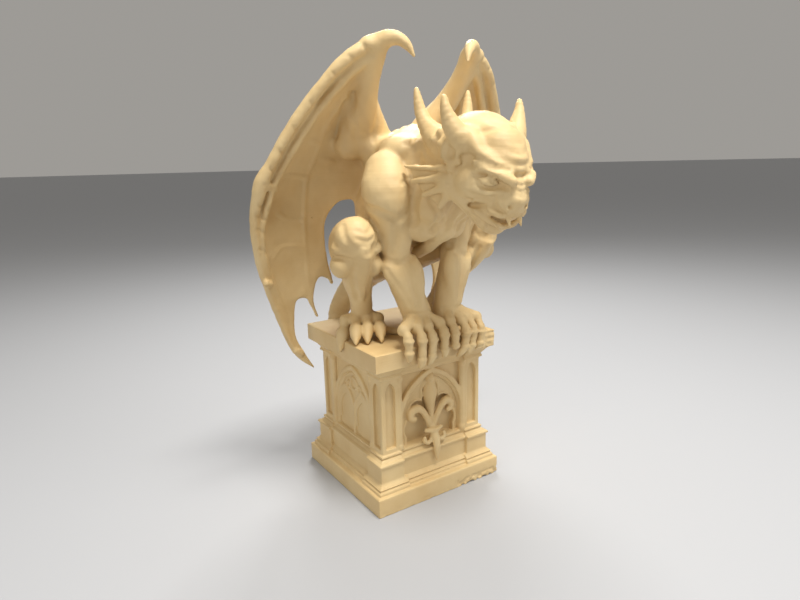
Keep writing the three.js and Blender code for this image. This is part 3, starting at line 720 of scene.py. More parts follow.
    def flower(self, clay: Clay, deep: float) -> None:
        """The flower: a ribbed petal, two curled leaves, a clasp and a long pendant, as blended limbs.

        Args:
            clay: The front face's clay.
            deep: Depth of the field behind it.
        """
        foot = self.shaft_base
        v = deep + 3.2
        petal = [(0, v, foot + 7, 1.2), (0, v - 0.2, foot + 12, 1.6), (0, v - 0.6, foot + 18, 2.6),
                 (0, v - 0.9, foot + 23, 3.7), (0, v - 0.8, foot + 26.4, 2.9), (0, v - 0.4, foot + 28.4, 1.5),
                 (0, v - 0.2, foot + 30.2, 2.1), (0, v - 0.4, foot + 32.6, 0.5)]
        leaf = [(0.8, v + 0.6, foot + 5.5, 1.4), (2.6, v + 0.9, foot + 10.5, 1.45),
                (5.4, v + 1.0, foot + 15.2, 1.6), (8.6, v + 0.7, foot + 17.2, 1.95),
                (11.3, v + 0.3, foot + 15.6, 1.9), (11.4, v + 0.2, foot + 13.0, 1.7),
                (9.8, v + 0.6, foot + 12.2, 1.4)]
        clasp = [(-4.2, self.pier_half + 0.3, foot + 5.4, 1.0), (0, self.pier_half + 1.5, foot + 5.2, 1.25),
                 (4.2, self.pier_half + 0.3, foot + 5.4, 1.0)]
        out = self.band_half
        pendant = [(0, v, foot + 7, 1.8), (0, self.pier_half + 0.6, foot + 3.6, 2.1),
                   (0, out, foot - 1.6, 1.8), (0, out + 0.1, foot - 5.4, 1.4),
                   (0, out + 0.1, foot - 9.4, 0.5)]
        curl = [(0.8, self.pier_half + 0.6, foot + 2.2, 0.9), (3.4, self.pier_half + 1.2, foot - 0.4, 1.0),
                (5.6, self.pier_half + 1.0, foot + 0.6, 1.0), (5.6, self.pier_half + 0.9, foot + 2.2, 0.9)]
        for limb, sides in ((petal, (1,)), (leaf, (-1, 1)), (clasp, (1,)), (pendant, (1,)), (curl, (-1, 1))):
            for sign in sides:
                path = smooth_path(limb, 4) * (sign, 1, 1, 1)
                clay.join(*clay.chain(path, 1.0, 0.0), 0.5)
        petal_crease = [(1.3, v + 3, foot + 12, 0), (1.7, v + 4.4, foot + 23, 0), (0.8, v + 3, foot + 29, 0)]
        leaf_crease = [(2.6, v + 3, foot + 10, 0), (6.2, v + 4, foot + 16.2, 0),
                       (10, v + 3.6, foot + 16.9, 0)]
        pendant_crease = [(0.9, out + 2.4, foot + 3, 0), (0.7, out + 2.2, foot - 6, 0)]
        for sign in (-1, 1):
            for line, depth in ((petal_crease, 0.55), (leaf_crease, 0.5), (pendant_crease, 0.45)):
                path = smooth_path(line, 4) * (sign, 1, 1, 1)
                clay.press(*clay.chain(path, 1.0, 0.0), 1.3, depth)

    def wear(self, clay: Clay) -> None:
        """Roughens the base's lower front edge and the slab's end at the figure's left, as they came off
        the bed."""
        places = (((6, -37, -1), (37, -33, 4), 0.8, 1.6), ((14, -36, 66), (36, -30, 76), 0.45, 1.4),
                  ((-36, -37, -1), (6, -34, 2.4), 0.3, 1.5))
        for low, high, depth, wave in places:
            where, (x, y, z) = clay.window(low, high)
            shape = np.broadcast_shapes(x.shape, y.shape, z.shape)
            grids = [np.broadcast_to(g, shape) for g in (x, y, z)]
            fade = np.ones(shape)
            for grid, a, b in zip(grids, low, high):
                fade = fade * np.clip(np.minimum(grid - a, b - grid) / 1.5 + 0.2, 0, 1)
            clay.values[where] += fade * depth * np.maximum(self.noise.at(*grids, wave) + 0.25, 0)

    def build(self, material: bpy.types.Material) -> None:
        """Sculpts the plinth and puts it in its node's place.

        Args:
            material: Its finish.
        """
        reach = self.width / 2 + 1.0
        clay = Clay.block((-reach, -reach, -1.0), (reach, reach, self.height + 1.0), self.step)
        self.mouldings(clay)
        for face in Face:
            seen = clay.turned(face)
            self.front(seen) if face is Face.FRONT else self.side(seen)
            self.panels(seen)
        self.wear(clay)
        vertices, faces = clay.surface()
        dress(make_piece("carved_plinth", vertices, faces, self.most_triangles, self.sharp_angle),
              "plinth", material)


@dataclass
class Gargoyle:
    """The crouching figure. Places are x outward from its midline, y back and z up from the slab, in
    millimetres."""

    floor: float
    step: float = 0.55
    midline: float = 3.0
    slab_half: float = 33.6
    skin: float = 1.8
    skin_stiffness: float = 8.0
    skin_ripple: float = 0.35
    skin_wave: float = 9.0
    vein_width: float = 1.7
    vein_height: float = 0.6
    seat_sink: float = 0.1
    low: Point = (-70.5, -86, 38)
    high: Point = (76.5, 48.5, 207)
    rough_depth: float = 0.16
    rough_wave: float = 3.4
    grain_depth: float = 0.06
    grain_wave: float = 1.5
    most_triangles: int = 196000
    sharp_angle: float = 180.0
    noise: Noise = field(default_factory=Noise)
    clay: Clay = field(init=False)

    def placed(self, points: Sequence[Sequence[float]], side: Side, parts: int = 1) -> Array:
        """Points of the figure in the frame, as a smooth path where parts is over 1."""
        path = np.asarray(points, dtype=np.float64) if parts == 1 else smooth_path(points, parts)
        path = path.copy()
        path[:, 0] = self.midline + side.value * path[:, 0]
        path[:, 2] += self.floor
        return path

    def limb(self, joints: Sequence[Joint], side: Side, blend: float, parts: int = 4, narrow: float = 1.0,
             rings: float = 0.0, ripple: float = 0.0) -> None:
        """Joins a limb through joints.

        Args:
            joints: Rows of x, y, z and radius.
            side: The side that it is on.
            blend: Width of its fillet with the rest.
            parts: Links for each span.
            narrow: Its width over its depth.
            rings: Rings along its whole length.
            ripple: How far the rings swell, as a share of the radius.
        """
        path = self.placed(joints, side, parts)
        if rings:
            along = np.linspace(0, 1, len(path))
            path[:, 3] *= 1 + ripple * np.sin(2 * math.pi * rings * along)
        self.clay.join(*self.clay.chain(path, narrow, self.midline), blend)

    def groove(self, points: Sequence[Point], side: Side, width: float, depth: float) -> None:
        """Presses a crease along a line; a negative depth raises a ridge."""
        path = self.placed([(*point, 0.0) for point in points], side, 5 if len(points) > 2 else 2)
        self.clay.press(*self.clay.chain(self.clay.settle(path), 1.0, 0.0), width, depth)

    def lump(self, centre: Point, radii: Point, side: Side, blend: float, turn: float = 0.0,
             carve: bool = False) -> None:
        """Joins or carves an ellipsoid: k (k - 1) / m, where k and m are the lengths of the place over the
        radii once and twice.

        Args:
            centre: Its centre.
            radii: Its three radii before it turns.
            side: The side that it is on.
            blend: Width of its fillet.
            turn: Turn about x in radians.
            carve: Whether it is cut away.
        """
        x0, y0, z0 = self.placed([centre], side)[0]
        reach = max(radii) + FAR / 2
        where, (x, y, z) = self.clay.window((x0 - reach, y0 - reach, z0 - reach),
                                            (x0 + reach, y0 + reach, z0 + reach))
        c, s = math.cos(turn), math.sin(turn)
        dx, dy, dz = x - x0, (y - y0) * c + (z - z0) * s, (z - z0) * c - (y - y0) * s
        once = np.sqrt((dx / radii[0]) ** 2 + (dy / radii[1]) ** 2 + (dz / radii[2]) ** 2)
        twice = np.sqrt((dx / radii[0] ** 2) ** 2 + (dy / radii[1] ** 2) ** 2 + (dz / radii[2] ** 2) ** 2)
        distances = once * (once - 1) / np.maximum(twice, 1e-6)
        (self.clay.carve if carve else self.clay.join)(where, distances, blend)

    def trunk(self) -> None:
        """The trunk and neck, the ridge of the spine and the tail."""
        one = Side.LEFT
        self.limb([(0, 21, 36, 16), (0, 9, 52, 20), (0, -9, 68, 25), (0, -24, 72, 20.5), (0, -38, 79, 15),
                   (0, -50, 83, 13)], one, 3.0, 4, 0.8)
        spine = [(0, 36, 42, 2.0), (0, 31, 55, 2.4), (0, 24, 66.5, 2.6), (0, 14, 79.5, 2.8),
                 (0, 3.5, 89, 2.8), (0, -10, 92, 2.4), (0, -22, 91.5, 1.6)]
        self.limb(spine, one, 2.5, 12, rings=13, ripple=0.35)
        tail = [(1, 26, 27, 9), (5, 35, 18, 7), (10.5, 39.5, 9, 5.8), (15, 40.6, 0, 5), (16, 40, -12, 4.1),
                (12, 39, -23, 3.3), (5, 38.5, -31, 2.4), (-2, 38.5, -34, 0.6)]
        self.limb(tail, Side.RIGHT, 3.0, 14, rings=24, ripple=0.06)

    def trunk_side(self, side: Side) -> None:
        """Chest, shoulder blade, flank and the fan of skin behind the jaw."""
        self.lump((8, -33, 63), (8.5, 10.5, 10.5), side, 2.0, 0.5)
        self.lump((8, -28, 55), (8, 7, 10), side, 2.5)
        self.lump((3, -30, 53), (5, 6.5, 8), side, 2.0)
        self.lump((10, -5, 80), (9, 12, 10), side, 3.0)
        self.lump((12, -18, 84), (8, 12, 6.5), side, 2.5)
        self.lump((14, 2, 58), (7, 12, 10), side, 3.0)
        self.limb([(0.5, -40, 66, 2), (1.5, -34, 53, 2.4), (1.5, -24, 43, 2.2), (1, -14, 38, 2)], side, 3.0)
        for i in range(4):
            y = -12 + 7.5 * i
            self.groove([(17 - i, y - 3, 64 - 3 * i), (19 - i, y, 56 - 3.2 * i),
                         (15 - i, y + 3, 46 - 3 * i)], side, 2.6, 0.7)
        self.groove([(0.6, -45, 66), (0.4, -40, 58), (0.4, -30, 49)], side, 2.8, 1.4)
        self.groove([(14, -34, 80), (12.6, -35, 70), (12.4, -33.6, 62), (13.6, -30.6, 55)], side, 4.0, 2.6)
        self.groove([(11.6, -40, 64), (8.6, -41, 57), (6.4, -33.4, 50.6)], side, 2.2, 1.2)
        self.groove([(9.8, -44, 64), (6, -42.6, 57.4), (3.6, -36, 52.6)], side, 1.8, 0.9)
        heads = [(13.5, -56, 76.2), (14.5, -56, 73.2), (14.5, -55, 69.8), (13.5, -54, 66.6)]
        tails = [(18, -32.5, 77.6), (17.6, -36.5, 71.4), (16.6, -42.5, 66.2), (14.6, -50, 61.8)]
        self.lump((10.6, -46, 71), (3.6, 12, 8), side, 2.5)
        for i in range(3):
            for share in (0.2, 0.4, 0.6, 0.8):
                ends = [np.array(row[i]) * (1 - share) + np.array(row[i + 1]) * share - (1.9, 0, 0)
                        for row in (heads, tails)]
                self.limb([(*ends[0], 1.2), (*ends[1], 0.9)], side, 1.2, 1)
        for head, tail in zip(heads, tails):
            self.limb([(*head, 1.8), (*tail, 1.2)], side, 0.2, 1)
        self.limb([(15, -58, 76.6, 2.3), (12.6, -57, 77.2, 2.8)], side, 0.8)

    def head(self) -> None:
        """Skull, brow, muzzle and chin on the midline."""
        one = Side.LEFT
        self.lump((0, -56, 83), (15.5, 16, 14.4), one, 2.5)
        self.lump((0, -66, 83.5), (10.5, 11, 9), one, 2.5)
        self.lump((0, -68, 67), (10.5, 12, 10), one, 2.5, 0.4)
        self.lump((0, -76.2, 64.4), (3.5, 4.0, 3.6), one, 1.2)
        self.lump((0, -63.8, 54.8), (5.2, 4.8, 3.4), one, 2.0, 0.5)
        self.lump((0, -75.5, 69.5), (3.6, 4, 4.5), one, 1.6)
        self.lump((0, -70, 78), (10, 8, 7.5), one, 2.0)
        for level, y, drop, reach, radius in ((75.2, -77.9, 1.4, 3.2, 1.5), (78.6, -77.7, 2.2, 4.4, 1.6),
                                              (82.4, -76.2, 2.4, 5.4, 1.3)):
            arc = [(-reach, y + 2.2, level + drop, radius * 0.5),
                   (-reach / 2, y + 0.5, level + 0.3 * drop, radius), (0, y, level, radius),
                   (reach / 2, y + 0.5, level + 0.3 * drop, radius),
                   (reach, y + 2.2, level + drop, radius * 0.5)]
            self.limb(arc, one, 1.0)
        for level, y, reach, depth in ((76.9, -79.4, 4, 0.25), (80.6, -78.8, 5, 0.25),
                                       (69.4, -79, 3, 0.5), (67.4, -79, 3.4, 0.5), (65.6, -80, 3, 0.35)):
            self.groove([(-reach, y + 2, level + 1.2), (0, y, level), (reach, y + 2, level + 1.2)], one,
                        1.1, depth)
        self.lump((0, -74.6, 78.2), (6.4, 3.7, 6.4), one, 1.5)
        for x, y, z, radius in ((-5, -67, 90, 2.4), (4, -70, 87.4, 2.2), (6.6, -66, 90, 2.0),
                                (-2, -62, 94.6, 2.4), (1.6, -72, 84.4, 1.8), (-5.4, -71, 84.6, 2.0)):
            self.lump((x, y, z), (radius, radius, 0.8 * radius), one, 2.0)

    def head_side(self, side: Side) -> None:
        """Brow, eye, cheek, jaw, mouth, ear and horns."""
        limb, lump, groove = self.limb, self.lump, self.groove
        lump((8.8, -62.5, 71.5), (6.4, 9, 7.6), side, 2.0)
        limb([(12, -53, 71, 5.0), (9.4, -58.4, 65.4, 4.2), (7.2, -63.0, 60.4, 3.8),
              (4.4, -65.2, 56, 3.2), (0, -66, 54.6, 3.0)], side, 1.6)
        limb([(11.8, -64, 87.4, 3.2), (11.6, -67.4, 84, 2.8), (10.8, -69.8, 81, 2.4),
              (9.2, -72.4, 78.6, 2.0)], side, 2.6)
        limb([(12.4, -68.6, 74.8, 0.9), (11.4, -70.8, 75.0, 1.6), (9.4, -73.6, 74.5, 2.0),
              (6.8, -76.5, 73.0, 2.3), (4.3, -78.7, 71.2, 2.0)], side, 1.5)
        limb([(12.2, -68.6, 78.4, 1.7), (10.2, -71.6, 77.4, 2.1), (7.6, -74.6, 76.4, 2.2),
              (4.6, -77.2, 74.6, 1.9)], side, 1.3)
        for spot in ((10.6, -71.4, 78.6), (8.2, -74.4, 77.6), (9.8, -73, 75.2), (6.2, -77, 74.2)):
            lump(spot, (1.7, 1.4, 1.2), side, 0.8)
        groove([(12.8, -69.4, 73.4), (10.4, -73.8, 73.2), (6.8, -76.4, 71.4), (5.6, -77, 69.6)], side,
               2.4, 1.3)
        lump((9.6, -71.8, 71.3), (2.8, 2.2, 1.7), side, 0.4)
        limb([(12.4, -70.2, 72.2, 0.5), (10.2, -73.6, 72.7, 0.7), (7.8, -74.6, 71.0, 0.6)], side, 0.5)
        limb([(12.4, -70.0, 71.0, 0.5), (10.0, -73.6, 69.9, 0.7), (7.8, -74.6, 70.6, 0.6)], side, 0.5)
        limb([(12.8, -67.2, 69.2, 0.9), (9.8, -72.2, 67.3, 1.3), (6.2, -75.2, 67.6, 1.1)], side, 0.9)
        groove([(13.6, -67.6, 77.8), (11.4, -71.2, 77.8), (8, -75.4, 75.2), (5.6, -77.8, 73.6)], side,
               1.3, 0.6)
        groove([(12.8, -69.4, 71.0), (10.2, -73.2, 69.0), (7.0, -75.6, 69.6)], side, 1.2, 0.9)
        groove([(12.6, -66, 67.2), (9.6, -72, 65.2), (5.6, -76, 66)], side, 1.6, 0.9)
        groove([(12.8, -63, 64.6), (9.6, -70, 62.9), (6.8, -74, 62.8)], side, 1.5, 0.6)
        lump((3.7, -75.3, 62.0), (2.4, 2.9, 2.5), side, 0.6)
        lump((3.9, -78.6, 62.1), (1.2, 1.8, 1.0), side, 0.4, carve=True)
        groove([(6.2, -73, 66), (6.8, -74, 62), (5.4, -76, 59.4)], side, 1.5, 1.2)
        limb([(10.6, -66.6, 63.8, 1.6), (8.9, -69.6, 61.9, 1.8), (6.6, -73.0, 59.6, 1.8),
              (3.4, -74.6, 58.6, 1.6), (0, -75.0, 58.4, 1.6)], side, 0.7)
        limb([(10.4, -66.0, 60.8, 1.3), (8.4, -68.8, 58.3, 1.4), (6, -71.0, 56.2, 1.3),
              (3.4, -71.4, 54.9, 1.2), (0, -70.0, 54.0, 1.2)], side, 0.7)
        mouth = [(11.6, -66.4, 62.6, 0.5), (10.7, -68.4, 62.0, 1.4), (9.0, -70.4, 59.9, 0.45),
                 (7.0, -73.2, 57.4, 0.35), (4.2, -75.0, 56.1, 0.35), (0, -75.4, 55.9, 0.35)]
        self.clay.carve(*self.clay.chain(self.placed(mouth, side, 3), 1.0, 0.0), 0.3)
        lump((10.4, -67.2, 62.7), (1.7, 5.4, 1.25), side, 0.3, carve=True)
        groove([(11.4, -67.4, 63.4), (9.8, -70.9, 60.6), (7.6, -72.4, 58.5), (5.3, -73.8, 56.8),
                (2.7, -76.0, 56.3), (0, -76.4, 56.1)], side, 1.4, 1.7)
        groove([(13, -65, 61.4), (10.6, -68.6, 58.6), (8.2, -70.6, 56.2), (5.6, -71.4, 54.2)], side, 1.3, 0.4)
        limb([(2.8, -75.8, 57.4, 1.0), (2.9, -76.6, 54.8, 0.35)], side, 0.3, 1)
        for i in range(4):
            start = (11.5 - 1.7 * i, -62 - 2.2 * i, 59.5 - 1.5 * i)
            groove([start, (start[0] - 1.2, start[1] + 0.8, start[2] - 3.2)], side, 1.2, 0.5)
        limb([(12, -60.6, 84, 4.2), (14.4, -60.8, 88, 3.8), (16.8, -59.6, 92.4, 2.9),
              (18.4, -58.8, 97.2, 1.9), (18.8, -58.4, 101.4, 1.0)], side, 1.6, 18, rings=9, ripple=0.17)
        limb([(6.5, -46, 82, 5.0), (8.8, -41.4, 87.4, 4.7), (10.8, -37.2, 92.6, 3.2),
              (12, -34.8, 97.8, 2.3), (12.8, -34, 102.6, 1.7), (13.3, -33.6, 107, 1.0)], side, 2.0, 18,
             rings=12, ripple=0.15)
        lump((15.0, -59.0, 82.0), (2.4, 4.4, 4.6), side, 1.2, -0.3)
        lump((17.4, -59.8, 81.8), (2.0, 2.2, 2.7), side, 0.6, -0.3, carve=True)
        limb([(15.4, -62.6, 84.6, 0.9), (16.2, -58.8, 86.2, 1.1), (16.8, -55.8, 83.8, 1.2),
              (16.8, -56.0, 80.4, 1.2), (16.0, -59, 78.2, 1.1), (14.8, -62, 78.2, 0.9)], side, 0.6)
        groove([(16.4, -53.4, 86), (16.2, -53.2, 81), (15.6, -55.6, 77.4)], side, 1.4, 0.8)
        for x, y, z, radius in ((11.6, -47.6, 89.6, 2.2), (13.0, -45.4, 87.0, 1.9),
                                (10.0, -50.4, 93.0, 1.8), (11.6, -41.0, 85.0, 1.8),
                                (13.6, -49.6, 85.4, 1.7)):
            lump((x, y, z), (radius, radius, radius), side, 1.4)
        groove([(14.6, -50.8, 90), (11.8, -52.4, 94), (8, -53.6, 97)], side, 1.8, 0.8)
        groove([(9, -67.6, 88.6), (5.6, -71.6, 89.6), (2, -73, 90.6)], side, 1.6, 0.6)
        groove([(14.4, -62.4, 81), (12, -69.4, 79), (8.6, -74.4, 76.8), (5.4, -77.6, 75.2)], side, 1.4, 0.9)
        groove([(13.4, -68, 73.6), (12.4, -66, 70.6)], side, 1.6, 0.6)
        groove([(17.4, -33, 80.4), (16, -45, 80), (15, -56, 78.8)], side, 2.2, 1.3)
        groove([(16, -28.5, 86.6), (13.4, -28.4, 85.8), (11.5, -28.3, 88)], side, 1.6, 1.0)

    def arm(self, side: Side, fingers: Sequence[tuple[float, float, float, float]]) -> None:
        """An arm and its hand, whose fingers grip the slab's front edge.

        Args:
            side: The side that it is on.
            fingers: For each finger its x, its knuckle's level, its claw's level and how far the claw leans.
        """
        limb, lump, groove = self.limb, self.lump, self.groove
        limb([(19.2, -19, 75, 9.4), (20.4, -21.6, 67, 11.4), (19.6, -22.2, 59, 9.4),
              (18.8, -22, 54, 7.4)], side, 1.6)
        limb([(19, -21.3, 60, 6.8), (17.6, -21, 48, 6.6), (16, -20.5, 38, 6.2)], side, 1.6)
        lump((16.2, -25.2, 48), (4.4, 4.0, 9), side, 1.0, 0.1)
        lump((21.4, -18.4, 49), (4.4, 5.2, 10), side, 1.2)
        limb([(16.6, -19.6, 38.5, 6.0), (14.8, -21.4, 30.5, 6.6), (12.4, -22.3, 24, 6.8),
              (10.2, -23.4, 17.5, 6.7), (8.4, -24.4, 12, 6.6)], side, 1.5)
        limb([(20.6, -20.2, 40, 2.8), (20.0, -22.4, 33, 4.2), (16.6, -24.8, 24, 3.0),
              (12.6, -27.4, 15.5, 1.8)], side, 0.9)
        limb([(11.4, -24.4, 38.0, 2.6), (9.8, -26.0, 31, 3.6), (9.0, -27.2, 22, 2.5),
              (7.6, -28.4, 13, 1.6)], side, 0.9)
        groove([(29.6, -17, 64), (27.4, -27, 59.6), (22.4, -31.4, 55.6), (17.4, -32.4, 58),
                (12.6, -31, 64)], side, 2.4, 1.5)
        groove([(22.6, -30.6, 55.4), (21.4, -28.6, 48), (22.4, -26, 41)], side, 2.6, 1.0)
        groove([(24.6, -19, 39.5), (19.6, -27.2, 36.4), (13.4, -29, 38.6), (8.8, -24.6, 42.6)], side,
               2.2, 1.5)
        groove([(16.2, -28.8, 36), (14.2, -29.4, 28), (11.4, -30, 18)], side, 1.9, 0.8)
        groove([(15.6, -26, 13.4), (10, -31.5, 13.6), (3.4, -28, 13.4)], side, 1.5, 0.8)
        groove([(23.6, -24, 34), (19.4, -27.4, 26), (15, -29.4, 17.6)], side, 1.6, 0.7)
        groove([(16.0, -32.2, 70), (18, -33.2, 72.4), (20, -32.6, 70.6)], side, 1.5, 0.8)
        for offset in (-1.6, 1.4, 4.2):
            groove([(15 + offset, -32.5, 69), (17 + offset, -33.2, 64), (19.4 + 0.4 * offset, -32, 58)],
                   side, 1.5, 0.35)
        edge = -(self.slab_half + 0.2)
        lump((9.6, -26.6, 8.0), (8.6, 5.2, 4.4), side, 1.6, 0.4)
        for x, knuckle, tip, lean in fingers:
            limb([(7.9 + 0.25 * (x - 7.9), -24.6, 13.4, 2.2), (0.6 * x + 3, -29.4, 11.0, 2.0),
                  (x, edge + 1.4, 7.4 + 0.4 * knuckle, 2.8)], side, 0.6)
            limb([(x, edge + 1.6, 6.8 + 0.4 * knuckle, 2.6), (x, edge - 0.8, 5.2 + 0.6 * knuckle, 1.8),
                  (x, edge - 2.4, knuckle + 1, 2.6), (x + 0.1 * lean, edge - 2.6, knuckle - 1.8, 1.8),
                  (x + 0.25 * lean, edge - 2.7, min(knuckle - 4.4, tip + 4.6), 2.3)], side, 0.4)
            limb([(x + 0.25 * lean, edge - 2.6, min(knuckle - 4.6, tip + 4.2), 1.9),
                  (x + 0.7 * lean, edge - 2.8, tip + 2, 1.4), (x + lean, edge - 1.6, tip, 0.4)], side,
                 0.25)
            for level, swell in ((knuckle + 2.2, 0.35), (knuckle - 0.4, 0.3),
                                 (min(knuckle - 3.2, tip + 5.6), 0.35)):
                groove([(x - 3, edge - 2.2, level), (x, edge - 5, level), (x + 3, edge - 2.2, level)],
                       side, 1.1, 1.6 * swell)

    def leg(self, side: Side, edge: float, shift: float) -> None:
        """A bent leg with its knee high in front of the flank, and its foot turned out over the slab's side.

        Args:
            side: The side that it is on.
            edge: How far the slab's side edge is from the figure's midline.
            shift: How far the foot is moved out, fading to the knee.
        """
        limb, lump, groove = self.limb, self.lump, self.groove

        def out(z: float) -> float:
            """How far the leg is moved out at a level."""
            return shift * (1 - min(max(z / 48, 0), 1))

        limb([(9, 19, 35, 14.5), (21, 7, 41, 13), (31, -9, 46.5, 9.8), (35, -17.8, 48.2, 9.0)], side, 3.0)
        shin = [(35.3, -19.4, 48, 8.0), (33.8, -16, 38, 8.0), (30, -9.6, 28.5, 6.8),
                (27, -5.8, 20.5, 5.4), (25, -3, 12, 5.0), (23, 2.5, 4.5, 4.6)]
        limb([(x + out(z), y, z, r) for x, y, z, r in shin], side, 2.0)
        for x, y, z, a, b, c in ((41.8, -16.6, 44.6, 3.4, 5, 3.4), (41.2, -15, 36.6, 4.2, 5.6, 5.4),
                                 (27.6, -19.2, 43.8, 3.8, 5, 3.4), (27.2, -17.2, 36.0, 4.6, 5.4, 5.2),
                                 (35.4, -24.4, 43.4, 4.4, 3.6, 3.2)):
            lump((x + out(z), y, z), (a, b, c), side, 0.8)
        limb([(34.4 + out(40), -25, 41, 2.4), (32.4 + out(30), -18, 31, 2.6),
              (28.6 + out(22), -11.4, 22, 2.0)], side, 1.6)
        groove([(44.5, -17, 46), (40, -26, 43.4), (35, -28, 42.6), (31, -26.4, 43.4), (28.6, -24, 45)],
               side, 2.4, 0.8)
        groove([(45, -16, 41), (40.2, -22, 40)], side, 1.8, 1.1)
        groove([(38.2 + out(34), -22, 39), (35.4 + out(26), -16, 29), (31 + out(18), -10, 19)], side,
               1.9, 1.0)
        groove([(31.4 + out(34), -22.4, 39), (30.4 + out(26), -17, 29), (26.6 + out(18), -11.4, 19)],
               side, 1.9, 1.0)
        groove([(31.6, -25, 53), (35, -28.4, 51.4), (39.4, -26.4, 52.8)], side, 1.6, 0.5)
        groove([(31, -26.4, 49), (35, -29, 47.6), (39.6, -27.6, 49)], side, 1.4, 0.5)
        groove([(42.2, -20, 54), (43.2, -24, 49), (41.6, -26, 44.6)], side, 2.2, 0.9)
        groove([(29.8, -22, 53.6), (28.6, -24.6, 49), (30.2, -26.6, 44.6)], side, 2.2, 0.9)
        lump((22 + shift, -4, 7), (7.5, 6.5, 4.6), side, 1.8)
        thumb = ((23, -2, 5, 3.4), (18, -6.5, 3, 2.4), (13, -10, 1.8, 1.8), (9, -13.5, 0.8, 0.9))
        limb([(x + shift, y, z, r) for x, y, z, r in thumb], side, 1.0, rings=3, ripple=0.1)
        toes = (((edge - 3.9, -1.4, 8.4), (edge + 1.9, -5.6, -5)),
                ((edge - 7, -5.4, 8.6), (edge - 0.4, -16.6, 0.8)),
                ((edge - 12, -7.2, 8.8), (edge - 5.6, -18, 0.8)),
                ((edge - 17, -8.6, 8.6), (edge - 11.8, -20, 0.8)))
        rises = ((0.28, 0.6), (0.5, 1.2), (0.72, 0.7), (0.87, 0.5))
        instep = np.array((25 + shift, -3.5, 12))
        for knuckle, tip in toes:
            root, end = np.array(knuckle), np.array(tip)
            spots = [root + (end - root) * share + (0, 0, lift) for share, lift in rises]
            limb([(25 + shift, -2.5, 13, 2.4), (*(root * 0.5 + instep * 0.5), 2.0), (*root, 2.7)], side, 0.9)
            limb([(*root, 2.8), (*spots[0], 2.2), (*spots[1], 2.95), (*spots[2], 2.35)], side, 0.5)
            limb([(*spots[2], 1.8), (*spots[3], 1.4), (*end, 0.4)], side, 0.2)

    def web_depth(self, x: Array, z: Array, knots: Array) -> Array:
        """Depth of the wing's skin over its outline, as the thin plate r^2 log r through known points.

        Args:
            x: Places outward.
            z: Levels.
            knots: Rows of x, y and z on the skin.

        Returns:
            The depth y at each place.
        """
        flat = knots[:, [0, 2]]
        gaps = np.linalg.norm(flat[:, None] - flat[None], axis=2)
        plate = gaps**2 * np.log(gaps + 1e-9) + self.skin_stiffness * np.eye(len(flat))
        tilt = np.column_stack([np.ones(len(flat)), flat])
        system = np.block([[plate, tilt], [tilt.T, np.zeros((3, 3))]])
        weights = np.linalg.solve(system, np.concatenate([knots[:, 1], np.zeros(3)]))
        depth = weights[-3] + weights[-2] * x + weights[-1] * z
        for (kx, kz), weight in zip(flat, weights[:-3]):
            gap = np.hypot(x - kx, z - kz)
            depth = depth + weight * gap**2 * np.log(gap + 1e-9)
        return depth

    def wing(self, side: Side) -> None:
        """A folded wing: arm, thumb claw, a double leading finger, a rib and the skin between them."""
        limb, lump, groove = self.limb, self.lump, self.groove
        leading = [(26.5, -22.5, 125.2), (34.6, -20, 120.4), (41.3, -16.5, 114), (51, -10, 101.2),
                   (58, -5, 89.8), (63.5, -0.5, 79), (66.8, 3, 71.6), (68.6, 7, 61), (68.7, 9, 55.8),
                   (67.4, 12.5, 46), (64.3, 17, 33.6), (59.1, 21.5, 19.6), (53.5, 25, 5), (48.4, 26, -8),
                   (43.6, 26, -14.8), (38.7, 24, -20.5)]
        rib = [(25, -20.5, 118), (29.4, -10, 110.3), (32.7, -3.5, 103.2), (36.7, 2, 95), (40.1, 9, 81),
               (41.9, 13, 73.4), (42.1, 17, 59.3), (41.4, 20, 43.5), (40.1, 22, 29.2), (38.8, 24, 16.5),
               (35.3, 24, 5.7)]
        trailing = [(8, 8, 60), (17, 8, 60.8), (20.6, 10, 63.5), (26.1, 13, 62.7), (29.7, 15.5, 58.6),
                    (32, 17.5, 53.5), (32.1, 19.5, 44.8), (29.8, 22, 32.4), (26.8, 23, 21.8)]
        notch = [(26.8, 23, 21.8), (29.6, 23, 23.8), (33, 23, 25), (35.2, 23.4, 22), (36.6, 23.8, 14.5),
                 (35.3, 24, 5.7)]
        scallop = [(35.3, 24, 5.7), (38.6, 23.8, 11.5), (40.6, 23.7, 14.8), (44.4, 23.5, 15.7),
                   (46.1, 24, 13.1), (46.7, 25.5, 3.9), (45.9, 26, -4.3), (42.2, 25.6, -12),
                   (38.7, 24, -20.5)]
        back = [(23, -20, 122), (21, -12, 112), (15, -2, 98), (8, 2, 86), (6, 6, 72)]
        between = [(47, -3, 95), (44.5, -10, 106), (54, 8, 75), (55.5, 15, 60), (54.5, 18, 45),
                   (51, 21.6, 30), (24, 2.5, 96), (26, 10, 80), (26, 12, 70), (36.5, 19.3, 50),
                   (34.8, 22.3, 32)]
        knots = np.array([*leading, *rib, *trailing[1:], *notch[2:5], *scallop[2:8], *between, *back[1:]])
        outline = np.vstack([smooth_path(np.array(leading)[:, [0, 2]], 5),
                             smooth_path(np.array(scallop)[::-1, [0, 2]], 6),
                             smooth_path(np.array(notch)[::-1, [0, 2]], 6),
                             smooth_path(np.array(trailing)[::-1, [0, 2]], 5),
                             np.array(back)[::-1, [0, 2]]])
        low, high = knots.min(0) - 4, knots.max(0) + 4
        ends = sorted(self.midline + side.value * value for value in (low[0], high[0]))
        where, (x, y, z) = self.clay.window((ends[0], low[1], low[2] + self.floor),
                                            (ends[1], high[1], high[2] + self.floor))
        flat_x = (x[:, 0, :] - self.midline) * side.value + 0 * z[:, 0, :]
        flat_z = z[:, 0, :] - self.floor + 0 * x[:, 0, :]
        depth = self.web_depth(flat_x, flat_z, knots)
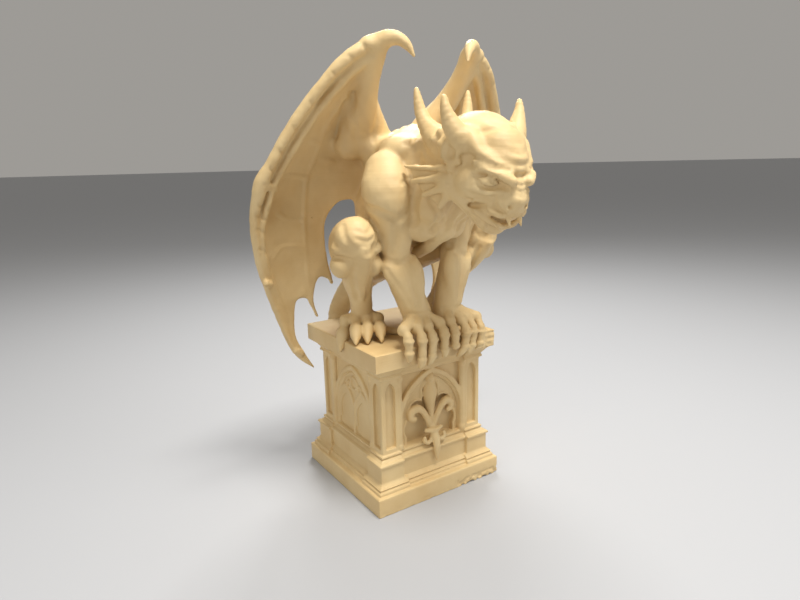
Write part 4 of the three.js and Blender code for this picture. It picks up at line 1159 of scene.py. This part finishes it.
        slope = np.hypot(*np.gradient(depth, self.step))
        margin = outline_distance(outline, flat_x, flat_z)
        ripple = self.skin_ripple * self.noise.at(flat_x, flat_z, 0 * flat_x, self.skin_wave)
        steep = np.sqrt(1 + np.minimum(slope, 3) ** 2)
        thick = np.abs(y - (depth + ripple)[:, None, :]) / steep[:, None, :] - self.skin / 2
        web = -smooth_min(-thick, -(margin + 0.3)[:, None, :] + 0 * thick, 1.2)
        self.clay.join(where, web.astype(np.float32), 1.4)
        limb([(8, 2, 82, 8.5), (15, -1, 94, 7.0), (21.6, -8, 105, 5.2), (23.6, -16, 115, 4.3),
              (24.3, -22, 123.4, 4.6)], side, 2.5)
        limb([(24.6, -22.5, 124.4, 4.2), (21.6, -26.4, 126.4, 3.3), (18.4, -29.4, 126, 2.5),
              (15.6, -31.4, 123.4, 1.7), (13.7, -33, 119.4, 0.5)], side, 1.2)
        lump((27, -22.2, 124.6), (4.6, 3.4, 3.2), side, 1.2)
        radii = np.interp(np.arange(len(leading)), [0, 3, 5.6, 6, 6.6, 9, 12, 14, 15],
                          [2.6, 2.3, 2.3, 3.1, 2.3, 2.1, 1.8, 1.6, 0.4])
        limb([(*point, radius) for point, radius in zip(leading, radii)], side, 0.8, 4)
        widths = np.interp(np.arange(13), [0, 2, 5, 6, 9, 12], [5.2, 6.4, 6.2, 6.0, 4.2, 2.6])
        inner = []
        for point, width, i in zip(leading[:13], widths, range(13)):
            toward = np.array(rib[min(i, 9)]) - point
            toward[1] *= 0.5
            inner.append((*(np.array(point) + toward / np.linalg.norm(toward) * width), 2.0 - 0.07 * i))
        limb(inner, side, 0.9, 5, rings=15, ripple=0.05)
        limb([(*point, radius) for point, radius in zip(rib, np.linspace(1.9, 0.6, len(rib)))], side, 1.0)
        lump(rib[3], (2.5, 2.2, 2.3), side, 0.8)
        limb([(66.8, 2.2, 72, 2.2), (63.6, 3, 70.4, 1.9), (60.2, 5.0, 69.4, 1.6)], side, 0.6)
        limb([(63.0, 16.0, 27.2, 1.7), (61, 16.6, 26.4, 1.5)], side, 0.9)
        limb([(47, 25.2, -10.4, 1.9), (44.6, 24.8, -12.2, 1.6)], side, 0.6)
        limb([(*point, 0.9) for point in trailing[1:]], side, 0.8)
        lump((23.6, -2.6, 97), (5.0, 3.6, 11), side, 2.5, 0.3)
        lump((23.4, 2.6, 87), (8.0, 5.4, 6.4), side, 4.0, 0.2)
        lump((15.5, -1.5, 86.5), (7.0, 6.4, 6.0), side, 2.4)
        limb([(26, -19, 119, 1.8), (27.4, -5, 107.4, 1.9), (28.4, 0.6, 96, 2.2), (27.8, 1.4, 89, 2.6)],
             side, 1.4)
        limb([(24, -14, 113, 1.8), (23.6, -6.5, 106, 2.3), (21.4, -2.4, 96, 2.8), (20.4, -1.6, 88, 3.2)],
             side, 1.4)
        groove([(25.6, -9.6, 110), (25.4, -4.2, 101), (24.6, -2, 91)], side, 2.2, 0.9)
        groove([(30.4, -6, 104), (30.6, 0, 96), (29.4, 3, 90)], side, 2.2, 0.7)
        groove([(19, -9, 104), (17.4, -6.4, 96), (17.6, -6, 88)], side, 1.7, 0.8)
        veins = ([(58, 8.6, 71), (54.4, 7.4, 74.4), (50.6, 8.4, 74.4), (46, 10.6, 73.8), (42, 12, 73.2)],
                 [(41, 9, 79.4), (37.4, 9.4, 81), (34, 9.4, 81), (29, 8.6, 79.6)], [(58.6, 18, 37.4),
                                                                                    (56, 18, 41.2),
                                                                                    (52.6, 18.4, 42.6),
                                                                                    (47, 19.4, 42.4),
                                                                                    (42, 20, 41.6)],
                 [(52, 0, 92), (47, 1.6, 90), (40, 3.4, 88)],
                 [(56, 14.6, 58), (50, 15.6, 55), (43, 17, 54)])
        for vein in veins:
            path = self.placed([(*point, 0.0) for point in vein], side, 4)
            spot, distances = self.clay.chain(path, 1.0, 0.0)
            self.clay.press(spot, distances, self.vein_width, -self.vein_height)
        for share in np.linspace(0.04, 0.62, 12):
            spot = smooth_path(leading, 20)[int(share * 300)]
            groove([(spot[0] - 0.5, spot[1] - 2.6, spot[2] + 1),
                    (spot[0] - 5.2, spot[1] - 1.4, spot[2] - 1.8)], side, 1.3, 0.5)

    def seat(self) -> None:
        """Cuts the slab out of the figure, a tenth of a millimetre inside the slab's skin so that no gap
        shows."""
        sunk = self.seat_sink
        half = self.slab_half - sunk
        where, (x, y, z) = self.clay.window((-45, -45, self.floor - 40), (45, 45, self.floor + 4))
        box = np.maximum(np.maximum(np.abs(x) - half, np.abs(y) - half), z - self.floor + sunk)
        self.clay.carve(where, box.astype(np.float32), sunk)

    def build(self, material: bpy.types.Material) -> None:
        """Sculpts the figure and puts it in its node's place.

        Args:
            material: Its finish.
        """
        self.clay = Clay.block(self.low, self.high, self.step)
        self.trunk()
        self.head()
        right = ((21.3, 3.6, -5.2, 0), (14.2, 2.6, -9.3, 1.4), (8.5, 2, -8.6, 2.6), (2, 3, -7, 0.4))
        left = ((4, 2.6, -1.4, 0), (10.6, 1.6, -8.2, -5), (14.8, 1.6, -8, -4.6), (19.4, 1, -6.4, -2.6))
        near, far = self.slab_half + self.midline, self.slab_half - self.midline
        for side, fingers, edge in ((Side.RIGHT, right, near), (Side.LEFT, left, far)):
            self.wing(side)
            self.trunk_side(side)
            self.head_side(side)
            self.arm(side, fingers)
            self.leg(side, edge, edge - near)
        self.seat()
        vertices, faces = self.clay.surface()
        normals = self.normals(vertices, faces)
        x, y, z = vertices.T
        rough = self.rough_depth * self.noise.at(x, y, z, self.rough_wave)
        rough = rough + self.grain_depth * self.noise.at(y, z, x, self.grain_wave)
        vertices = vertices + normals * np.where(z > self.floor + 0.4, rough, 0)[:, None]
        dress(make_piece("gargoyle_figure", vertices, faces, self.most_triangles, self.sharp_angle),
              "gargoyle", material)

    @staticmethod
    def normals(vertices: Array, faces: Array) -> Array:
        """Normals at vertices: the sum of the cross products of the diagonals of the faces around each,
        made unit."""
        first, second, third, fourth = (vertices[faces[:, corner]] for corner in range(4))
        cross = np.cross(third - first, fourth - second)
        total = np.zeros_like(vertices)
        for axis in range(3):
            for corner in range(4):
                total[:, axis] += np.bincount(faces[:, corner], cross[:, axis], len(vertices))
        return total / np.maximum(np.linalg.norm(total, axis=1, keepdims=True), 1e-9)


@dataclass(frozen=True)
class Lamp:
    """A square soft light that looks at the figure's chest, in metres and watts."""

    name: str
    place: Point
    size: float
    power: float
    colour: Point

    def build(self, target: Point) -> None:
        """Hangs the light and turns it to a place."""
        data = bpy.data.lights.new(self.name, "AREA")
        data.size, data.energy, data.color = self.size, self.power, self.colour
        lamp = bpy.data.objects.new(self.name, data)
        aim = Vector(target) - Vector(self.place)
        lamp.matrix_world = Matrix.Translation(self.place) @ aim.to_track_quat("-Z", "Y").to_matrix().to_4x4()
        bpy.context.scene.collection.objects.link(lamp)


@dataclass(frozen=True)
class Studio:
    """A pale floor, soft light from above and the camera at the photograph's place, in metres and degrees."""

    eye: Point = (-0.1516, -0.2322, 0.1535)
    azimuth: float = -33.4153
    elevation: float = 13.177
    roll: float = -1.3882
    focal_pixels: float = 580.0
    image_width: float = 800.0
    sensor: float = 36.0
    nearest: float = 0.01
    target: Point = (0, -0.01, 0.12)
    floor_reach: float = 30.0
    floor_colour: Joint = (0.42, 0.43, 0.45, 1)
    floor_roughness: float = 0.7
    sky_colour: Joint = (1.0, 0.96, 0.9, 1)
    sky_strength: float = 0.34
    lamps: tuple[Lamp, ...] = (
        Lamp("Key", (0.02, -0.24, 0.72), 0.2, 5.9, (1.0, 0.97, 0.92)),
        Lamp("Back", (0.25, 0.35, 0.55), 0.2, 2.4, (1.0, 0.98, 0.95)),
        Lamp("Front", (0.50, -0.56, 0.30), 0.3, 1.1, (1.0, 0.97, 0.95)),
        Lamp("Fill", (-0.7, -0.3, 0.35), 0.5, 1.5, (1.0, 0.96, 0.9)),
    )

    def camera(self) -> None:
        """Places the camera: its axes are worked out from azimuth, elevation and roll."""
        a, e, r = (math.radians(v) for v in (self.azimuth, self.elevation, self.roll))
        back = Vector((math.sin(a) * math.cos(e), -math.cos(a) * math.cos(e), math.sin(e)))
        right = (-back).cross(Vector((0, 0, 1))).normalized()
        up = right.cross(-back)
        turned = right * math.cos(r) + up * math.sin(r)
        above = up * math.cos(r) - right * math.sin(r)
        data = bpy.data.cameras.new("Camera")
        data.sensor_width = self.sensor
        data.lens = self.focal_pixels / self.image_width * self.sensor
        data.clip_start = self.nearest
        camera = bpy.data.objects.new("Camera", data)
        axes = Matrix((turned, above, back)).transposed().to_4x4()
        camera.matrix_world = Matrix.Translation(self.eye) @ axes
        bpy.context.scene.collection.objects.link(camera)
        bpy.context.scene.camera = camera

    def floor(self) -> None:
        """Lays the plain pale floor."""
        mesh = bpy.data.meshes.new("Floor")
        reach = self.floor_reach
        corners = [(-reach, -reach, 0), (reach, -reach, 0), (reach, reach, 0), (-reach, reach, 0)]
        mesh.from_pydata(corners, [], [(0, 1, 2, 3)])
        floor = bpy.data.objects.new("Floor", mesh)
        material = bpy.data.materials.new("Pale floor")
        material.use_nodes = True
        shader = material.node_tree.nodes["Principled BSDF"]
        shader.inputs["Base Color"].default_value = self.floor_colour
        shader.inputs["Roughness"].default_value = self.floor_roughness
        mesh.materials.append(material)
        bpy.context.scene.collection.objects.link(floor)

    def sky(self) -> None:
        """Lights the scene evenly from all around."""
        world = bpy.data.worlds.new("Sky")
        world.use_nodes = True
        background = world.node_tree.nodes["Background"]
        background.inputs["Color"].default_value = self.sky_colour
        background.inputs["Strength"].default_value = self.sky_strength
        bpy.context.scene.world = world
        bpy.context.scene.view_settings.view_transform = "Standard"

    def build(self) -> None:
        """Builds the floor, the sky, the lights and the camera."""
        self.floor()
        self.sky()
        for lamp in self.lamps:
            lamp.build(self.target)
        self.camera()


def main() -> None:
    """Builds the pieces and the studio."""
    logging.basicConfig(level=logging.INFO, format="%(message)s")
    low, high = (np.array(corner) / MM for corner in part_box("plinth"))
    plastic = PrintedPlastic().build()
    Plinth(width=float(high[0] - low[0]), height=float(high[2])).build(plastic)
    Gargoyle(floor=float(high[2])).build(plastic)
    Studio().build()
    bpy.context.view_layer.update()


if __name__ == "__main__":
    main()
